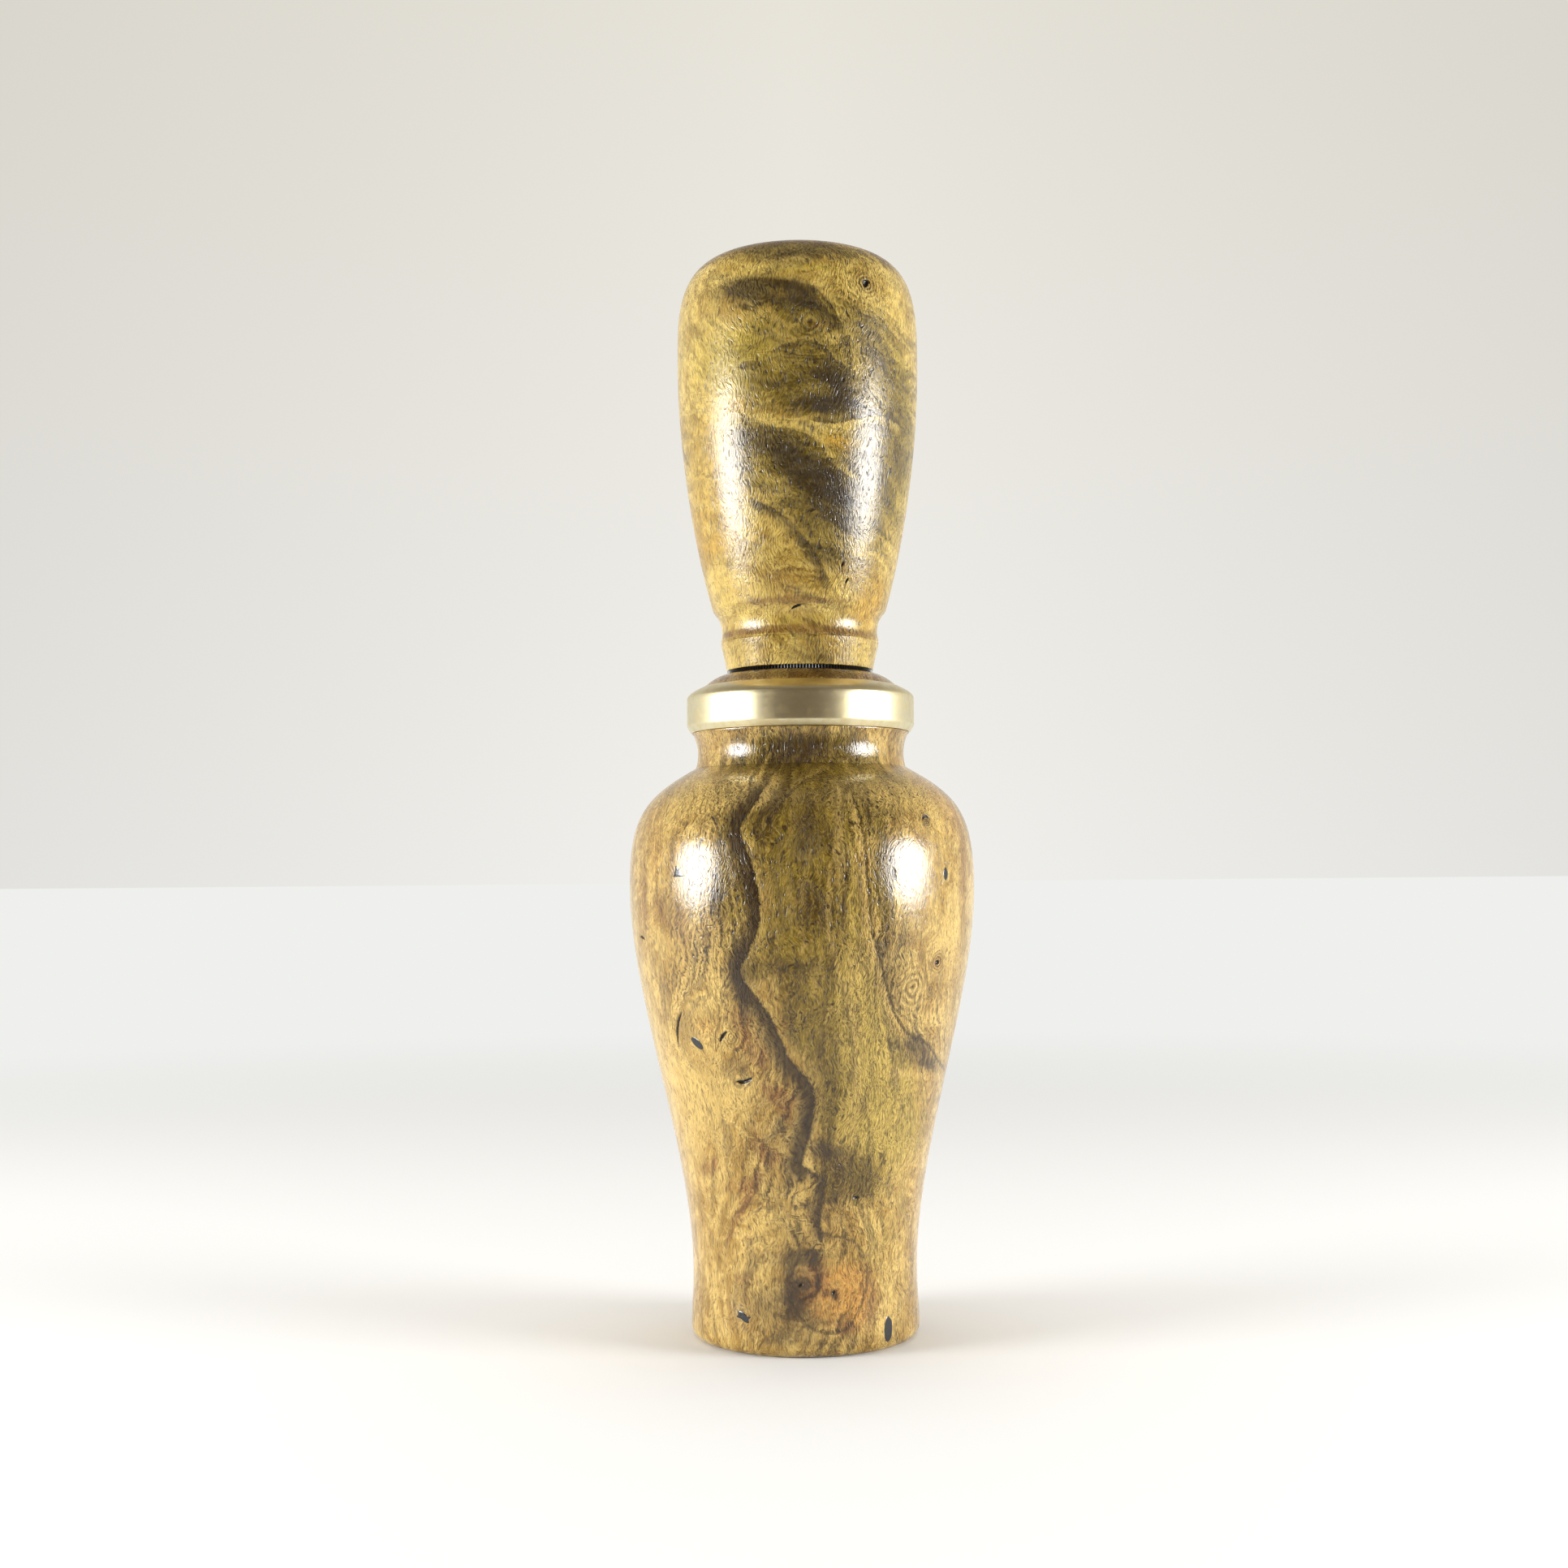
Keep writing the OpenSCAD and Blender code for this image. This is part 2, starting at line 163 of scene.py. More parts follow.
def turned(name, outline, around, cut=None):
    """A closed solid of revolution about Z. cut(turn, r, z) gives how far each point is cut in."""
    turns = np.linspace(0, 2 * math.pi, around, endpoint=False)
    ring = np.array(outline, float)
    rows = len(ring)
    a, r, z = np.repeat(turns, rows), np.tile(ring[:, 0], around), np.tile(ring[:, 1], around)
    if cut:
        r = r - cut(a, r, z)
    verts = np.stack([r * np.sin(a), -r * np.cos(a), z], axis=1) * MM
    faces = [(i * rows + j, i * rows + (j + 1) % rows,
              (i + 1) % around * rows + (j + 1) % rows, (i + 1) % around * rows + j)
             for i in range(around) for j in range(rows)]
    return mesh_piece(name, verts, faces)


def mesh_piece(name, verts, faces, sharp_angle=38):
    mesh = bpy.data.meshes.new(name)
    mesh.from_pydata([tuple(v) for v in verts], [], faces)
    piece = bpy.data.objects.new(name, mesh)
    bpy.context.scene.collection.objects.link(piece)
    outward(mesh)
    mesh.shade_smooth()
    mesh.set_sharp_from_angle(angle=math.radians(sharp_angle))
    return piece


def outward(mesh):
    work = bmesh.new()
    work.from_mesh(mesh)
    bmesh.ops.recalc_face_normals(work, faces=work.faces)
    work.to_mesh(mesh)
    work.free()


def places(mesh):
    """Each vertex's turn in degrees, height and radius in millimetres."""
    co = np.zeros(len(mesh.vertices) * 3)
    mesh.vertices.foreach_get("co", co)
    x, y, z = co.reshape(-1, 3).T / MM
    return np.degrees(np.arctan2(x, -y)), z, np.hypot(x, y)


# ---------------------------------------------------------------- material helper

def colour(r, g, b):
    """A colour given as it looks on a screen, 0 to 255, in the linear form that shaders take."""
    def linear(v):
        v /= 255
        return v / 12.92 if v <= 0.04045 else ((v + 0.055) / 1.055) ** 2.4
    return (linear(r), linear(g), linear(b), 1.0)


class Shader:
    """The node tree of a new material, or of the world, written as nested calls."""

    def __init__(self, owner):
        self.material = bpy.data.materials.new(owner) if isinstance(owner, str) else owner
        self.material.use_nodes = True
        self.tree = self.material.node_tree
        self.tree.nodes.clear()

    def node(self, kind, inputs=None, out=0, **settings):
        made = self.tree.nodes.new("ShaderNode" + kind)
        for key, value in settings.items():
            setattr(made, key, value)
        for key, value in (inputs or {}).items():
            if isinstance(value, bpy.types.NodeSocket):
                self.tree.links.new(value, made.inputs[key])
            else:
                made.inputs[key].default_value = value
        return made.outputs[out]

    def math(self, operation, a, b=0.0, c=0.0, clamp=False):
        return self.node("Math", {0: a, 1: b, 2: c}, operation=operation, use_clamp=clamp)

    def times(self, a, b, clamp=False):
        return self.math("MULTIPLY", a, b, clamp=clamp)

    def stirred(self, value, noise, amount):
        """The value, shifted up or down by noise."""
        return self.math("MULTIPLY_ADD", self.math("SUBTRACT", noise, 0.5), amount, value)

    def mix(self, factor, a, b):
        return self.node("Mix", {0: factor, 6: a, 7: b}, out=2, data_type="RGBA")

    def place(self):
        """Object coordinates in millimetres."""
        co = self.node("TexCoord", out=3)
        return self.node("VectorMath", {0: co, 3: 1 / MM}, operation="SCALE")

    def stretch(self, vector, x, y, z):
        return self.node("VectorMath", {0: vector, 1: (x, y, z)}, operation="MULTIPLY")

    def add(self, a, b):
        return self.node("VectorMath", {0: a, 1: b}, operation="ADD")

    def noise(self, vector, scale, detail=3.0, rough=0.55, distortion=0.0, out=0):
        return self.node("TexNoise", {"Vector": vector, "Scale": scale, "Detail": detail,
                                      "Roughness": rough, "Distortion": distortion}, out=out)

    def grown(self, vector, scale, grain, across, detail, rough):
        """Noise drawn out along the grain: scale is its fineness along, and across its fineness across."""
        return self.node("TexNoise", {"Vector": vector, "W": self.times(grain, across / scale),
                                      "Scale": scale, "Detail": detail, "Roughness": rough},
                         noise_dimensions="4D")

    def field(self, name):
        return self.node("Attribute", out=2, attribute_name=name)

    def ramp(self, value, start, end, low=0.0, high=1.0, smooth=True):
        kind = "SMOOTHSTEP" if smooth else "LINEAR"
        return self.node("MapRange", {0: value, 1: start, 2: end, 3: low, 4: high},
                         interpolation_type=kind)

    def bump(self, height, strength, distance):
        return self.node("Bump", {"Height": height, "Strength": strength, "Distance": distance})

    def close(self, surface, kind="Material"):
        output = self.tree.nodes.new("ShaderNodeOutput" + kind)
        self.tree.links.new(surface, output.inputs["Surface"])
        return self.material

    def finish(self, **inputs):
        names = {k.replace("_", " ").title().replace("Ior", "IOR"): v for k, v in inputs.items()}
        return self.close(self.node("BsdfPrincipled", names))


def wear(piece, material):
    piece.data.materials.clear()
    piece.data.materials.append(material)


# ---------------------------------------------------------------- burl figure

# Spalt lines. Each is a route of (turn, height) places. On its (left, right) sides, dark and pale say
# how dark and how pale the wood is for width millimetres, and curl how strongly it is striped further
# out. Ink is how strongly the line itself is drawn, if not LINE_INK. Left is the left hand of someone
# who walks the route on the wood.
BARREL_LINES = [
    dict(route=[(-9, 74), (-10.5, 70.5), (-15, 65.8)],
         dark=(0, 0.5), pale=(0.3, 0), curl=(0.1, 0.8), width=1.9, ink=0.45),
    dict(route=[(-15, 65.8), (-20, 62.5), (-17.1, 59.6), (-14.6, 56.7), (-13.1, 53.3), (-14.3, 50.4),
                (-17.6, 47.9), (-20.7, 45.7), (-17.1, 43.5), (-11.7, 40.8), (-7.9, 37.9), (-4.3, 35.2),
                (2.1, 32.9), (4, 30.4), (2.9, 27.5), (0.3, 24.8), (-1.4, 22.9)],
         dark=(0, 1), pale=(0.4, 0), curl=(0.1, 1), width=2.4),
    dict(route=[(-1.4, 22.9), (2.9, 22.2), (7.9, 21.4), (8.6, 19.6), (6.9, 16.2), (7.5, 15)],
         dark=(0, 0.75), pale=(0, 0), curl=(0.1, 1), width=1.5),
    dict(route=[(7.5, 15), (11.4, 14.5), (20, 14), (27.1, 12.7), (31.1, 10.4), (30.7, 7.5), (25.7, 5),
                (18.6, 3.3), (8.6, 3.1), (-1, 4.4), (-7, 7.5), (-5, 11), (2, 12.6)],
         dark=(0.1, 0.15), pale=(0.2, 0.1), curl=(0.5, 0.5), width=0.8, ink=0.6),
    dict(route=[(18.6, 65.8), (20, 60), (20.7, 55), (22.1, 50.8), (25, 47.5), (29.3, 43.3), (34.3, 40),
                (41.4, 37.9), (51.4, 36.7), (61.4, 34.6), (74, 33)],
         dark=(0.35, 0), pale=(0, 0.6), curl=(0.65, 0.5), width=1.5),
    dict(route=[(13, 67.5), (11.6, 64), (9, 60), (7.1, 55), (7, 51), (9.5, 47), (13.5, 43), (17.5, 37.5),
                (19.3, 31), (19, 26)], dark=(0, 0.25), pale=(0.5, 0), curl=(0.4, 0.3), width=1.5, ink=0.25),
    dict(route=[(11.4, 69.2), (1.4, 67.9), (-5.7, 65.8), (-11.4, 62.5)],
         dark=(0.3, 0), pale=(0, 0.4), curl=(0.1, 0.3), width=1.4),
    dict(route=[(-31, 60), (-28, 55), (-29.5, 50), (-33, 46.5), (-38, 44.5)],
         dark=(0, 0.25), pale=(0.2, 0), curl=(0.4, 1), width=1.4, ink=0.1),
    dict(route=[(148, 73), (158, 62), (152, 50), (168, 41), (183, 31), (172, 20), (160, 12), (166, 0)],
         dark=(0.9, 0), pale=(0, 0.5), curl=(0.8, 0.1), width=2.2, ink=0.3),
    dict(route=[(-118, 73), (-108, 60), (-122, 47), (-112, 34), (-128, 20), (-120, 0)],
         dark=(0, 0.7), pale=(0.5, 0), curl=(0.2, 0.8), width=1.8, ink=0.3),
    dict(route=[(88, 72), (97, 57), (90, 40), (104, 26), (96, 0)],
         dark=(0, 0.5), pale=(0.4, 0), curl=(0.3, 0.7), width=1.8, ink=0.12),
]

# Soft patches: turn, height, half width and half height in millimetres, strength, and the tilt in
# degrees if there is one.
# The silk is where the wood is smooth, with few flecks.
BARREL_DARK_AND_SHADE = [
    (-25, 63.3, 4, 0.9, 0.35, 10), (-12, 64.5, 1, 3.4, 0.45, -35), (-5, 68.6, 1.2, 2.6, 0.4, -20),
    (-4, 46.2, 5.2, 1.1, 0.75, 5), (2, 62, 4.4, 4.2, 0.5), (2, 53, 3.6, 2.4, 0.45, 20),
    (45, 36.4, 5.5, 0.8, 0.9, -12), (54, 34.2, 5.5, 0.9, 0.9, -12), (38, 38.6, 4, 0.7, 0.6, -24),
    (60, 37, 4, 0.5, 0.5, -8), (13, 24.3, 4.4, 1.2, 0.7, -8), (8, 26.5, 1.8, 3, 0.5),
    (20, 21.5, 4, 1.4, 0.5, -6), (14, 18.6, 3, 1.2, 0.3), (12.5, 55, 0.5, 5.5, 0.6),
    # (0, 72.3), (28, 70) and (-30, 70.2) are painted shade in the crease under the band, not the wood's own
    # colour.
    (0, 72.3, 5, 2, 0.95), (28, 70, 5, 0.8, 0.3), (-30, 70.2, 5, 0.6, 0.3),
    (-5.5, 6.3, 0.9, 1.5, 0.45, 30), (-8, 9.6, 0.5, 1.9, 0.5, -14), (-3, 12, 1.9, 0.8, 0.75, 14),
    (3.5, 11.4, 1.2, 0.6, 0.65, -24), (6.2, 9, 0.4, 1.3, 0.6, -14), (-2.2, 8.6, 0.6, 0.4, 0.9, 20),
    (1.2, 8.8, 0.35, 0.45, 0.8), (13.8, 7.5, 0.4, 0.7, 1, 16), (-0.5, 9.8, 2.4, 1.8, 0.2),
    (-4.6, 8.2, 0.3, 0.9, 0.7, -10), (10.5, 4.3, 3.6, 0.35, 0.35, 12), (26, 9.5, 0.35, 2.2, 0.4, 10),
    (20, 12.4, 2.6, 0.35, 0.4, 12), (-45, 50, 1.4, 5, 0.15, 8), (-52, 53.5, 1.4, 1.6, 0.4, 8),
    # (0, 81.3) is painted shade on the dome between the band and the insert.
    # From (40, 1) to (-30, 6), these patches darken the bottom flare and foot: partly the wood's dark
    # swirl, partly painted shade where the flare faces down.
    (0, 81.3, 15, 1.3, 0.75), (40, 1, 6, 0.8, 0.4), (-6, 2, 5, 0.8, 0.4), (-12, 6, 4, 3, 0.45),
    (0, 13.5, 4, 2.4, 0.2), (2, 5, 3, 2.4, 0.4), (-14, 12, 4, 4, 0.3), (-15, 19, 3, 3, 0.35),
    (-30, 6, 4, 3, 0.35), (-13, 35.5, 1.6, 1.2, 0.5, -20), (-52, 26, 6, 6, 0.2), (165, 60, 6, 3, 0.6, 20),
    (150, 30, 3, 9, 0.5, 15), (-120, 40, 2.5, 12, 0.4, -10), (-160, 18, 5, 3, 0.5, 10),
    (110, 52, 2.4, 9, 0.3, 12),
]
BARREL_GREEN = [
    (1, 60, 5, 7.5, 1), (1, 49, 4.5, 5, 0.9), (2, 40, 4.5, 4.5, 0.7), (10, 31, 3.4, 5, 0.7),
    (22, 21, 6, 3.6, 0.8), (26, 56, 2, 9, 0.7), (34, 47, 2, 5, 0.5, -25), (-16, 66, 4, 3, 0.7),
    (-24, 56, 3, 7, 0.7), (-20, 46, 2.6, 2.4, 0.5), (0, 71, 9, 3.2, 1), (10, 66, 8, 3.2, 0.8),
    (32, 67, 6, 2.4, 0.7), (0, 81, 9, 1.2, 0.7), (170, 45, 9, 16, 0.9), (0, 12.5, 3, 2, 0.4),
    (-130, 60, 6, 9, 0.6), (130, 18, 7, 9, 0.6),
]
BARREL_RED = [
    (-21, 39.5, 1.8, 2.6, 0.8, 35), (-16, 36, 1.8, 1.6, 0.9, -30), (-10, 31.3, 2.4, 1, 0.95, -25),
    (-7, 29, 1, 1.8, 0.6, 20), (-14.5, 24, 2, 1.1, 0.8, -25), (-50, 53, 2.4, 2.6, 0.7, 10),
    (-41, 51, 2, 4.5, 0.4, 10), (-63, 54, 1.6, 6, 0.5), (20, 3.5, 1.6, 0.7, 1),
    (14.5, 7.2, 1, 1.2, 0.7, 20), (-1.5, 8.6, 2.2, 2.4, 1), (8, 10.4, 1.8, 1.4, 0.5),
    (66, 58, 1.5, 7, 0.6, -8), (-48, 22, 3.6, 1.1, 0.5, 15), (-34, 20, 3.6, 1, 0.45, 20),
    (-32, 9, 3, 1, 0.5, 10), (-30, 14, 3, 0.9, 0.35, 20), (-22, 60.5, 4, 1, 0.3, 12),
    (0, 71.5, 6, 2.2, 0.4), (0, 81.3, 24, 1.4, 0.7), (-57, 14, 3, 1.4, 0.35, 20),
    (-40, 25, 0.8, 4, 0.35, -24), (-44, 30, 0.7, 4, 0.3, -24), (-34, 16, 0.7, 4, 0.4, -34),
    (-24, 20, 1.2, 3.4, 0.45, -30), (-19, 27, 1, 2.2, 0.5, -10), (140, 50, 3, 6, 0.5),
    (-150, 50, 3, 8, 0.5), (-90, 30, 3, 8, 0.4),
]
BARREL_PALE_AND_LIGHT = [
    # (-27, 31) is partly pale wood and partly a painted sheen where the figure catches the light.
    (-38, 38, 4, 4, 0.5), (-27, 31, 4.4, 2.6, 0.5), (-40, 30, 5, 4, 0.5), (52, 49, 4, 5, 0.5),
    (-56, 26, 5, 9, 0.15), (12, 60, 0.9, 6, 0.6), (42, 33.3, 5, 0.8, 0.5, -10),
    (52, 39.6, 5, 0.7, 0.7, -12), (16.5, 45, 2, 8, 0.4, 4), (-19, 67.5, 2.4, 1.8, 0.5),
    # (-75, 40) and (75, 42) are painted light on the two sides, over wood that is paler on the left. (-30,
    # 66.5), (-46, 66), (-16, 66.6) and (38, 66.2) are painted light on the upward face of the shoulder,
    # with the wood's own lime spot at (-16, 66.6).
    (-75, 40, 6, 16, 0.6), (75, 42, 6, 14, 0.5), (-60, 8, 4, 5, 0.3), (-30, 66.5, 5, 2.2, 0.8),
    (-46, 66, 4, 2.4, 0.6), (-16, 66.6, 2.4, 2, 0.7), (38, 66.2, 6, 2.2, 0.8),
    (30, 47, 1.8, 2.4, 0.5, -30), (-46, 54, 2.4, 4, 0.5), (45, 20, 4, 4, 0.35), (58, 60, 4, 5, 0.3),
    (-100, 30, 6, 9, 0.5),
]
BARREL_LIME_AND_LIGHT = [
    (13, 61, 1.6, 6, 0.9), (13, 50, 2.4, 6, 0.9, 4), (18, 41, 2.6, 5, 1, 4), (28, 34, 5, 6, 0.9),
    (15, 31, 2.6, 4, 0.6), (40, 26, 7, 6, 0.7), (-8, 51, 3, 1.8, 0.8, 20), (-12.5, 58, 1.2, 4, 0.6),
    # (-26, 66.5) and (34, 66) are painted light on the upward face of the shoulder, over the wood's own
    # lime.
    (36, 12, 6, 6, 0.4), (-26, 66.5, 5, 1.6, 0.5), (36, 52, 3, 6, 0.4), (0, 38, 2.6, 2.4, 0.5),
    (34, 66, 6, 2, 0.4), (165, 52, 7, 9, 0.7), (-150, 35, 7, 12, 0.6),
]
BARREL_ORANGE = [
    (15, 7.4, 3.6, 3.2, 1), (-37, 39, 2.4, 1.6, 0.6), (50.8, 46.4, 0.9, 0.9, 1), (-20, 6, 5, 4, 0.35),
    (-55, 60, 4, 6, 0.4), (66, 66, 5, 6, 0.5), (28, 7, 2.4, 3.6, 0.6), (-150, 20, 5, 6, 0.5),
    (105, 25, 3, 3, 0.6),
]
BARREL_SILK = [
    (-38, 26, 9, 9, 1), (-48, 10, 8, 8, 0.9), (-30, 34, 4, 4, 0.8), (-62, 40, 7, 14, 0.6),
    (-25, 14, 5, 7, 0.8), (15, 7, 4, 3.4, 0.9), (-40, 40, 5, 4, 0.8), (50, 50, 6, 7, 0.5),
    (-150, 20, 8, 12, 0.8), (-95, 30, 8, 20, 0.7), (100, 30, 6, 14, 0.6),
]
# Eyes: place, radius in millimetres, and strength of the rings.
BARREL_EYES = [
    ((14, 7.4), 3.8, 0.35), ((-2, 8.6), 2.6, 0.9), ((39.5, 43.4), 2.8, 1), ((50.8, 46.4), 1.5, 1),
    ((-37, 39), 3, 0.3), ((-26, 38), 1.2, 0.6), ((46, 63.3), 1, 0.9), ((-24.5, 32.9), 2.2, 0.3),
    ((48.5, 42.9), 1, 0.8), ((160, 30), 4, 0.9), ((-130, 52), 3.6, 0.9), ((105, 25), 3, 0.8),
    ((-100, 62), 2.4, 0.8),
]
# Open cracks and pits: place, half length and half width in millimetres, tilt, bow, and depth.
BARREL_PITS = [
    ((-49.6, 38.6), 2.5, 0.2, 66, 0.55, 0.3), ((-29.3, 38.1), 0.9, 0.2, 48, 0.1, 0.3),
    ((-22.9, 33.1), 1.2, 0.2, 14, -0.3, 0.3), ((50.8, 46.4), 0.42, 0.3, 10, 0, 0.3),
    ((46.3, 63.4), 0.8, 0.16, 8, 0.35, 0.25), ((-67, 49.3), 1, 0.16, -8, 0.2, 0.3),
    ((-2.2, 8.6), 0.35, 0.14, 30, 0.1, 0.15), ((14, 7.7), 0.3, 0.14, 60, 0.05, 0.12),
    ((24, 18.8), 0.45, 0.15, 0, 0, 0.2), ((160, 30.5), 0.9, 0.3, 40, 0.2, 0.3),
    ((-130, 52), 0.6, 0.3, 0, 0, 0.3),
]

INSERT_LINES = [
    dict(route=[(-42, 128.4), (-30, 128.8), (-10, 128.4), (8, 127.2), (15, 125.4), (20, 123.2), (25, 120.6),
                (26, 118.4), (23, 116.6)],
         dark=(0, 0.5), pale=(0.5, 0), curl=(0.225, 0.315), width=2.4, ink=0.15),
    dict(route=[(-10, 119.9), (2, 120.7), (12, 120.2), (17, 118.6), (24, 117.6)],
         dark=(0, 0.6), pale=(0.5, 0), curl=(0.315, 0.27), width=1, ink=0.3),
    dict(route=[(8, 111), (18, 111), (30, 111.8), (42, 112.6), (56, 112)],
         dark=(0.7, 0), pale=(0, 0.8), curl=(0.27, 0.135), width=1.2, ink=0.15),
    dict(route=[(-24, 112), (-12, 110.6), (4, 110), (12, 108), (18, 106), (28, 104.6)],
         dark=(0, 0.4), pale=(0.6, 0), curl=(0.225, 0.27), width=1.4, ink=0.1),
    dict(route=[(-16, 105.6), (-8, 104), (-2, 103), (8, 101.2), (18, 99.2), (27, 98.2)],
         dark=(0.4, 0), pale=(0, 0.5), curl=(0.135, 0.315), width=2.2, ink=0.15),
    dict(route=[(-22, 102), (-8, 100.2), (2, 97.8), (10, 95.6), (17, 93)],
         dark=(0, 0.7), pale=(0.4, 0), curl=(0.225, 0.225), width=1.8, ink=0.15),
    dict(route=[(13, 100), (20, 97.4), (28, 95), (36, 93.6), (48, 92.4)],
         dark=(0, 0.3), pale=(0.5, 0), curl=(0.18, 0.18), width=1, ink=0.15),
    dict(route=[(-49, 126), (-47, 113), (-44, 107), (-34, 103.5), (-27, 100)],
         dark=(0.1, 0), pale=(0, 0.3), curl=(0.135, 0.18), width=1, ink=0.12),
    dict(route=[(-8, 92), (4, 91), (10, 88.6), (13, 86), (16, 83)],
         dark=(0, 0.3), pale=(0.3, 0), curl=(0.135, 0.135), width=1.4, ink=0.1),
    dict(route=[(29, 128), (40, 123), (46, 116), (45, 108), (38, 103)],
         dark=(0, 0.2), pale=(0.3, 0), curl=(0.315, 0.315), width=1.2, ink=0.1),
    dict(route=[(132, 119.5), (145, 121.6), (160, 122.4), (175, 121.4), (188, 119.4), (205, 118.4)],
         dark=(0, 0.6), pale=(0.5, 0), curl=(0.22, 0.22), width=2.2, ink=0.12),
    dict(route=[(118, 101), (135, 103.6), (150, 104.8), (165, 103.8), (180, 101.4), (198, 100.4)],
         dark=(0.5, 0), pale=(0, 0.6), curl=(0.14, 0.27), width=2.6, ink=0.12),
    dict(route=[(-136, 117), (-118, 114.6), (-104, 113.8), (-88, 112.2), (-74, 109)],
         dark=(0, 0.5), pale=(0.5, 0), curl=(0.18, 0.22), width=1.8, ink=0.12),
    dict(route=[(72, 117), (86, 118.8), (100, 118.4), (114, 116.2), (130, 115.4)],
         dark=(0, 0.5), pale=(0.5, 0), curl=(0.18, 0.22), width=1.8, ink=0.12),
]
INSERT_DARK = [
    (-24, 127.6, 4.6, 1.7, 0.9, -4), (-8, 126.8, 4.6, 1.5, 0.9, -6), (5, 125.6, 2.4, 1, 0.6, -20),
    (5, 131.6, 7, 0.9, 0.7), (-6, 118.6, 5, 0.8, 0.45, 4), (-2, 116, 6, 0.8, 0.6, 3),
    (16, 117.2, 3, 1.3, 0.8, -14), (22, 114.8, 1.6, 1.6, 0.5), (9, 113.6, 6, 1.3, 0.8, 3),
    (20, 112.8, 3.4, 0.9, 0.7, 4), (-10, 107.6, 2.8, 1.3, 0.6, -22), (1, 105.8, 3.4, 1.8, 0.95, -24),
    (11, 103.6, 3.4, 2.4, 1, -26), (20, 101.2, 3.2, 2.4, 0.85, -26), (27, 98.6, 2.2, 1.5, 0.5, -26),
    (10, 96, 2.6, 1.6, 0.5, -35), (0, 99.4, 2.6, 1, 0.5, -30), (-10, 102.6, 2.6, 0.9, 0.45, -24),
    (-14, 95.6, 2.6, 0.5, 0.4, 8), (0, 83.4, 8, 0.6, 0.5), (160, 112, 6, 1.6, 0.7, 8),
    (-140, 104, 5, 2, 0.6, -12),
]
INSERT_GREEN = [
    (3, 117, 7, 3.2, 1), (20, 114.4, 6, 2.6, 0.9), (-4, 107.6, 5, 2.4, 0.9, -8),
    (12, 103, 6, 3.6, 1, -12), (30, 120, 4, 4, 0.7), (44, 106, 5, 9, 0.6), (60, 112, 6, 12, 0.4),
    (0, 124, 8, 3.2, 0.7), (0, 133, 12, 1.6, 0.8), (12, 97, 4, 2.6, 0.8, -25), (-26, 108, 3, 5, 0.6),
    (150, 110, 12, 14, 0.8), (-130, 115, 8, 10, 0.5),
]
INSERT_RED = [
    (-10, 93, 5, 2.4, 0.5), (-20, 98, 3.6, 1.2, 0.4, -10), (4, 88, 5, 2, 0.4, -20),
    (-60, 86.8, 6, 0.5, 0.5), (50, 86.6, 8, 0.6, 0.7), (-30, 86.9, 5, 0.4, 0.8),
    (34.4, 128.3, 1.2, 0.6, 0.8), (-120, 95, 6, 5, 0.4), (0, 134.2, 9, 1, 0.7), (-60, 133, 6, 1.2, 0.6),
    (60, 133, 6, 1.2, 0.6), (10, 122.6, 2, 0.7, 0.6), (0, 90.2, 14, 0.4, 0.5),
]
INSERT_PALE = [
    (-12, 130, 3.6, 0.5, 0.9), (18, 121.2, 1.4, 0.8, 0.9, 20), (-16, 111.6, 3.6, 0.8, 0.7, -8),
    (-52, 108, 7, 10, 0.35), (-62, 92, 6, 3, 0.6), (-4, 102.4, 3.4, 0.5, 0.6, -14),
    (-8, 121.5, 4, 1, 0.4), (44, 112.2, 5, 0.7, 0.6, 4),
]
INSERT_LIME = [
    (-20, 120, 4, 4, 0.6), (44, 112, 5, 3, 0.6), (2, 129.8, 6, 0.6, 0.7), (-50, 120, 6, 8, 0.4),
    (34, 124, 4, 3, 0.5), (54, 108, 6, 10, 0.6), (45, 118, 4, 3, 0.6), (-22, 118, 5, 3, 0.6),
    (60, 109, 4, 7, 0.5), (0, 87.5, 7, 2.4, 0.5), (150, 115, 8, 4, 0.7), (-120, 105, 6, 4, 0.6),
]
INSERT_SILK = [
    (-42, 122, 8, 8, 0.6), (-20, 121, 5, 4, 0.6), (-52, 90, 9, 4, 0.8), (20, 108, 3, 2, 0.8),
    (0, 88, 6, 2.4, 0.5), (-100, 105, 8, 14, 0.6), (170, 95, 8, 5, 0.6),
]
INSERT_ORANGE = [
    (18, 108.4, 2.4, 1.3, 1, -4), (26, 107.2, 2, 1.2, 0.7), (3, 101.8, 2.6, 0.9, 0.9, -18),
    (-52, 112, 5, 12, 0.3), (-34, 109, 3, 1.4, 0.5, 24), (-30, 113.5, 3.4, 1, 0.5, 10),
    (-66, 100, 5, 8, 0.3), (-50, 92, 5, 2, 0.4), (-40, 98, 4, 1.2, 0.4, 10), (56, 90, 4, 4, 0.7),
    (10, 98.6, 2.2, 0.7, 0.5, -25), (170, 104, 5, 2, 0.8), (-100, 100, 5, 4, 0.6),
]
INSERT_EYES = [
    ((5.7, 123.1), 2.6, 1), ((34.4, 128.3), 1.6, 1), ((160, 108), 4, 0.9), ((-110, 124), 3, 0.9),
]
INSERT_PITS = [
    ((34.6, 128.4), 0.6, 0.4, 50, 0.1, 0.35), ((-2, 89.4), 0.7, 0.15, 20, 0.1, 0.2),
    ((26, 94.5), 0.4, 0.14, 70, 0, 0.2), ((30, 92.6), 0.4, 0.14, 60, 0, 0.2),
]


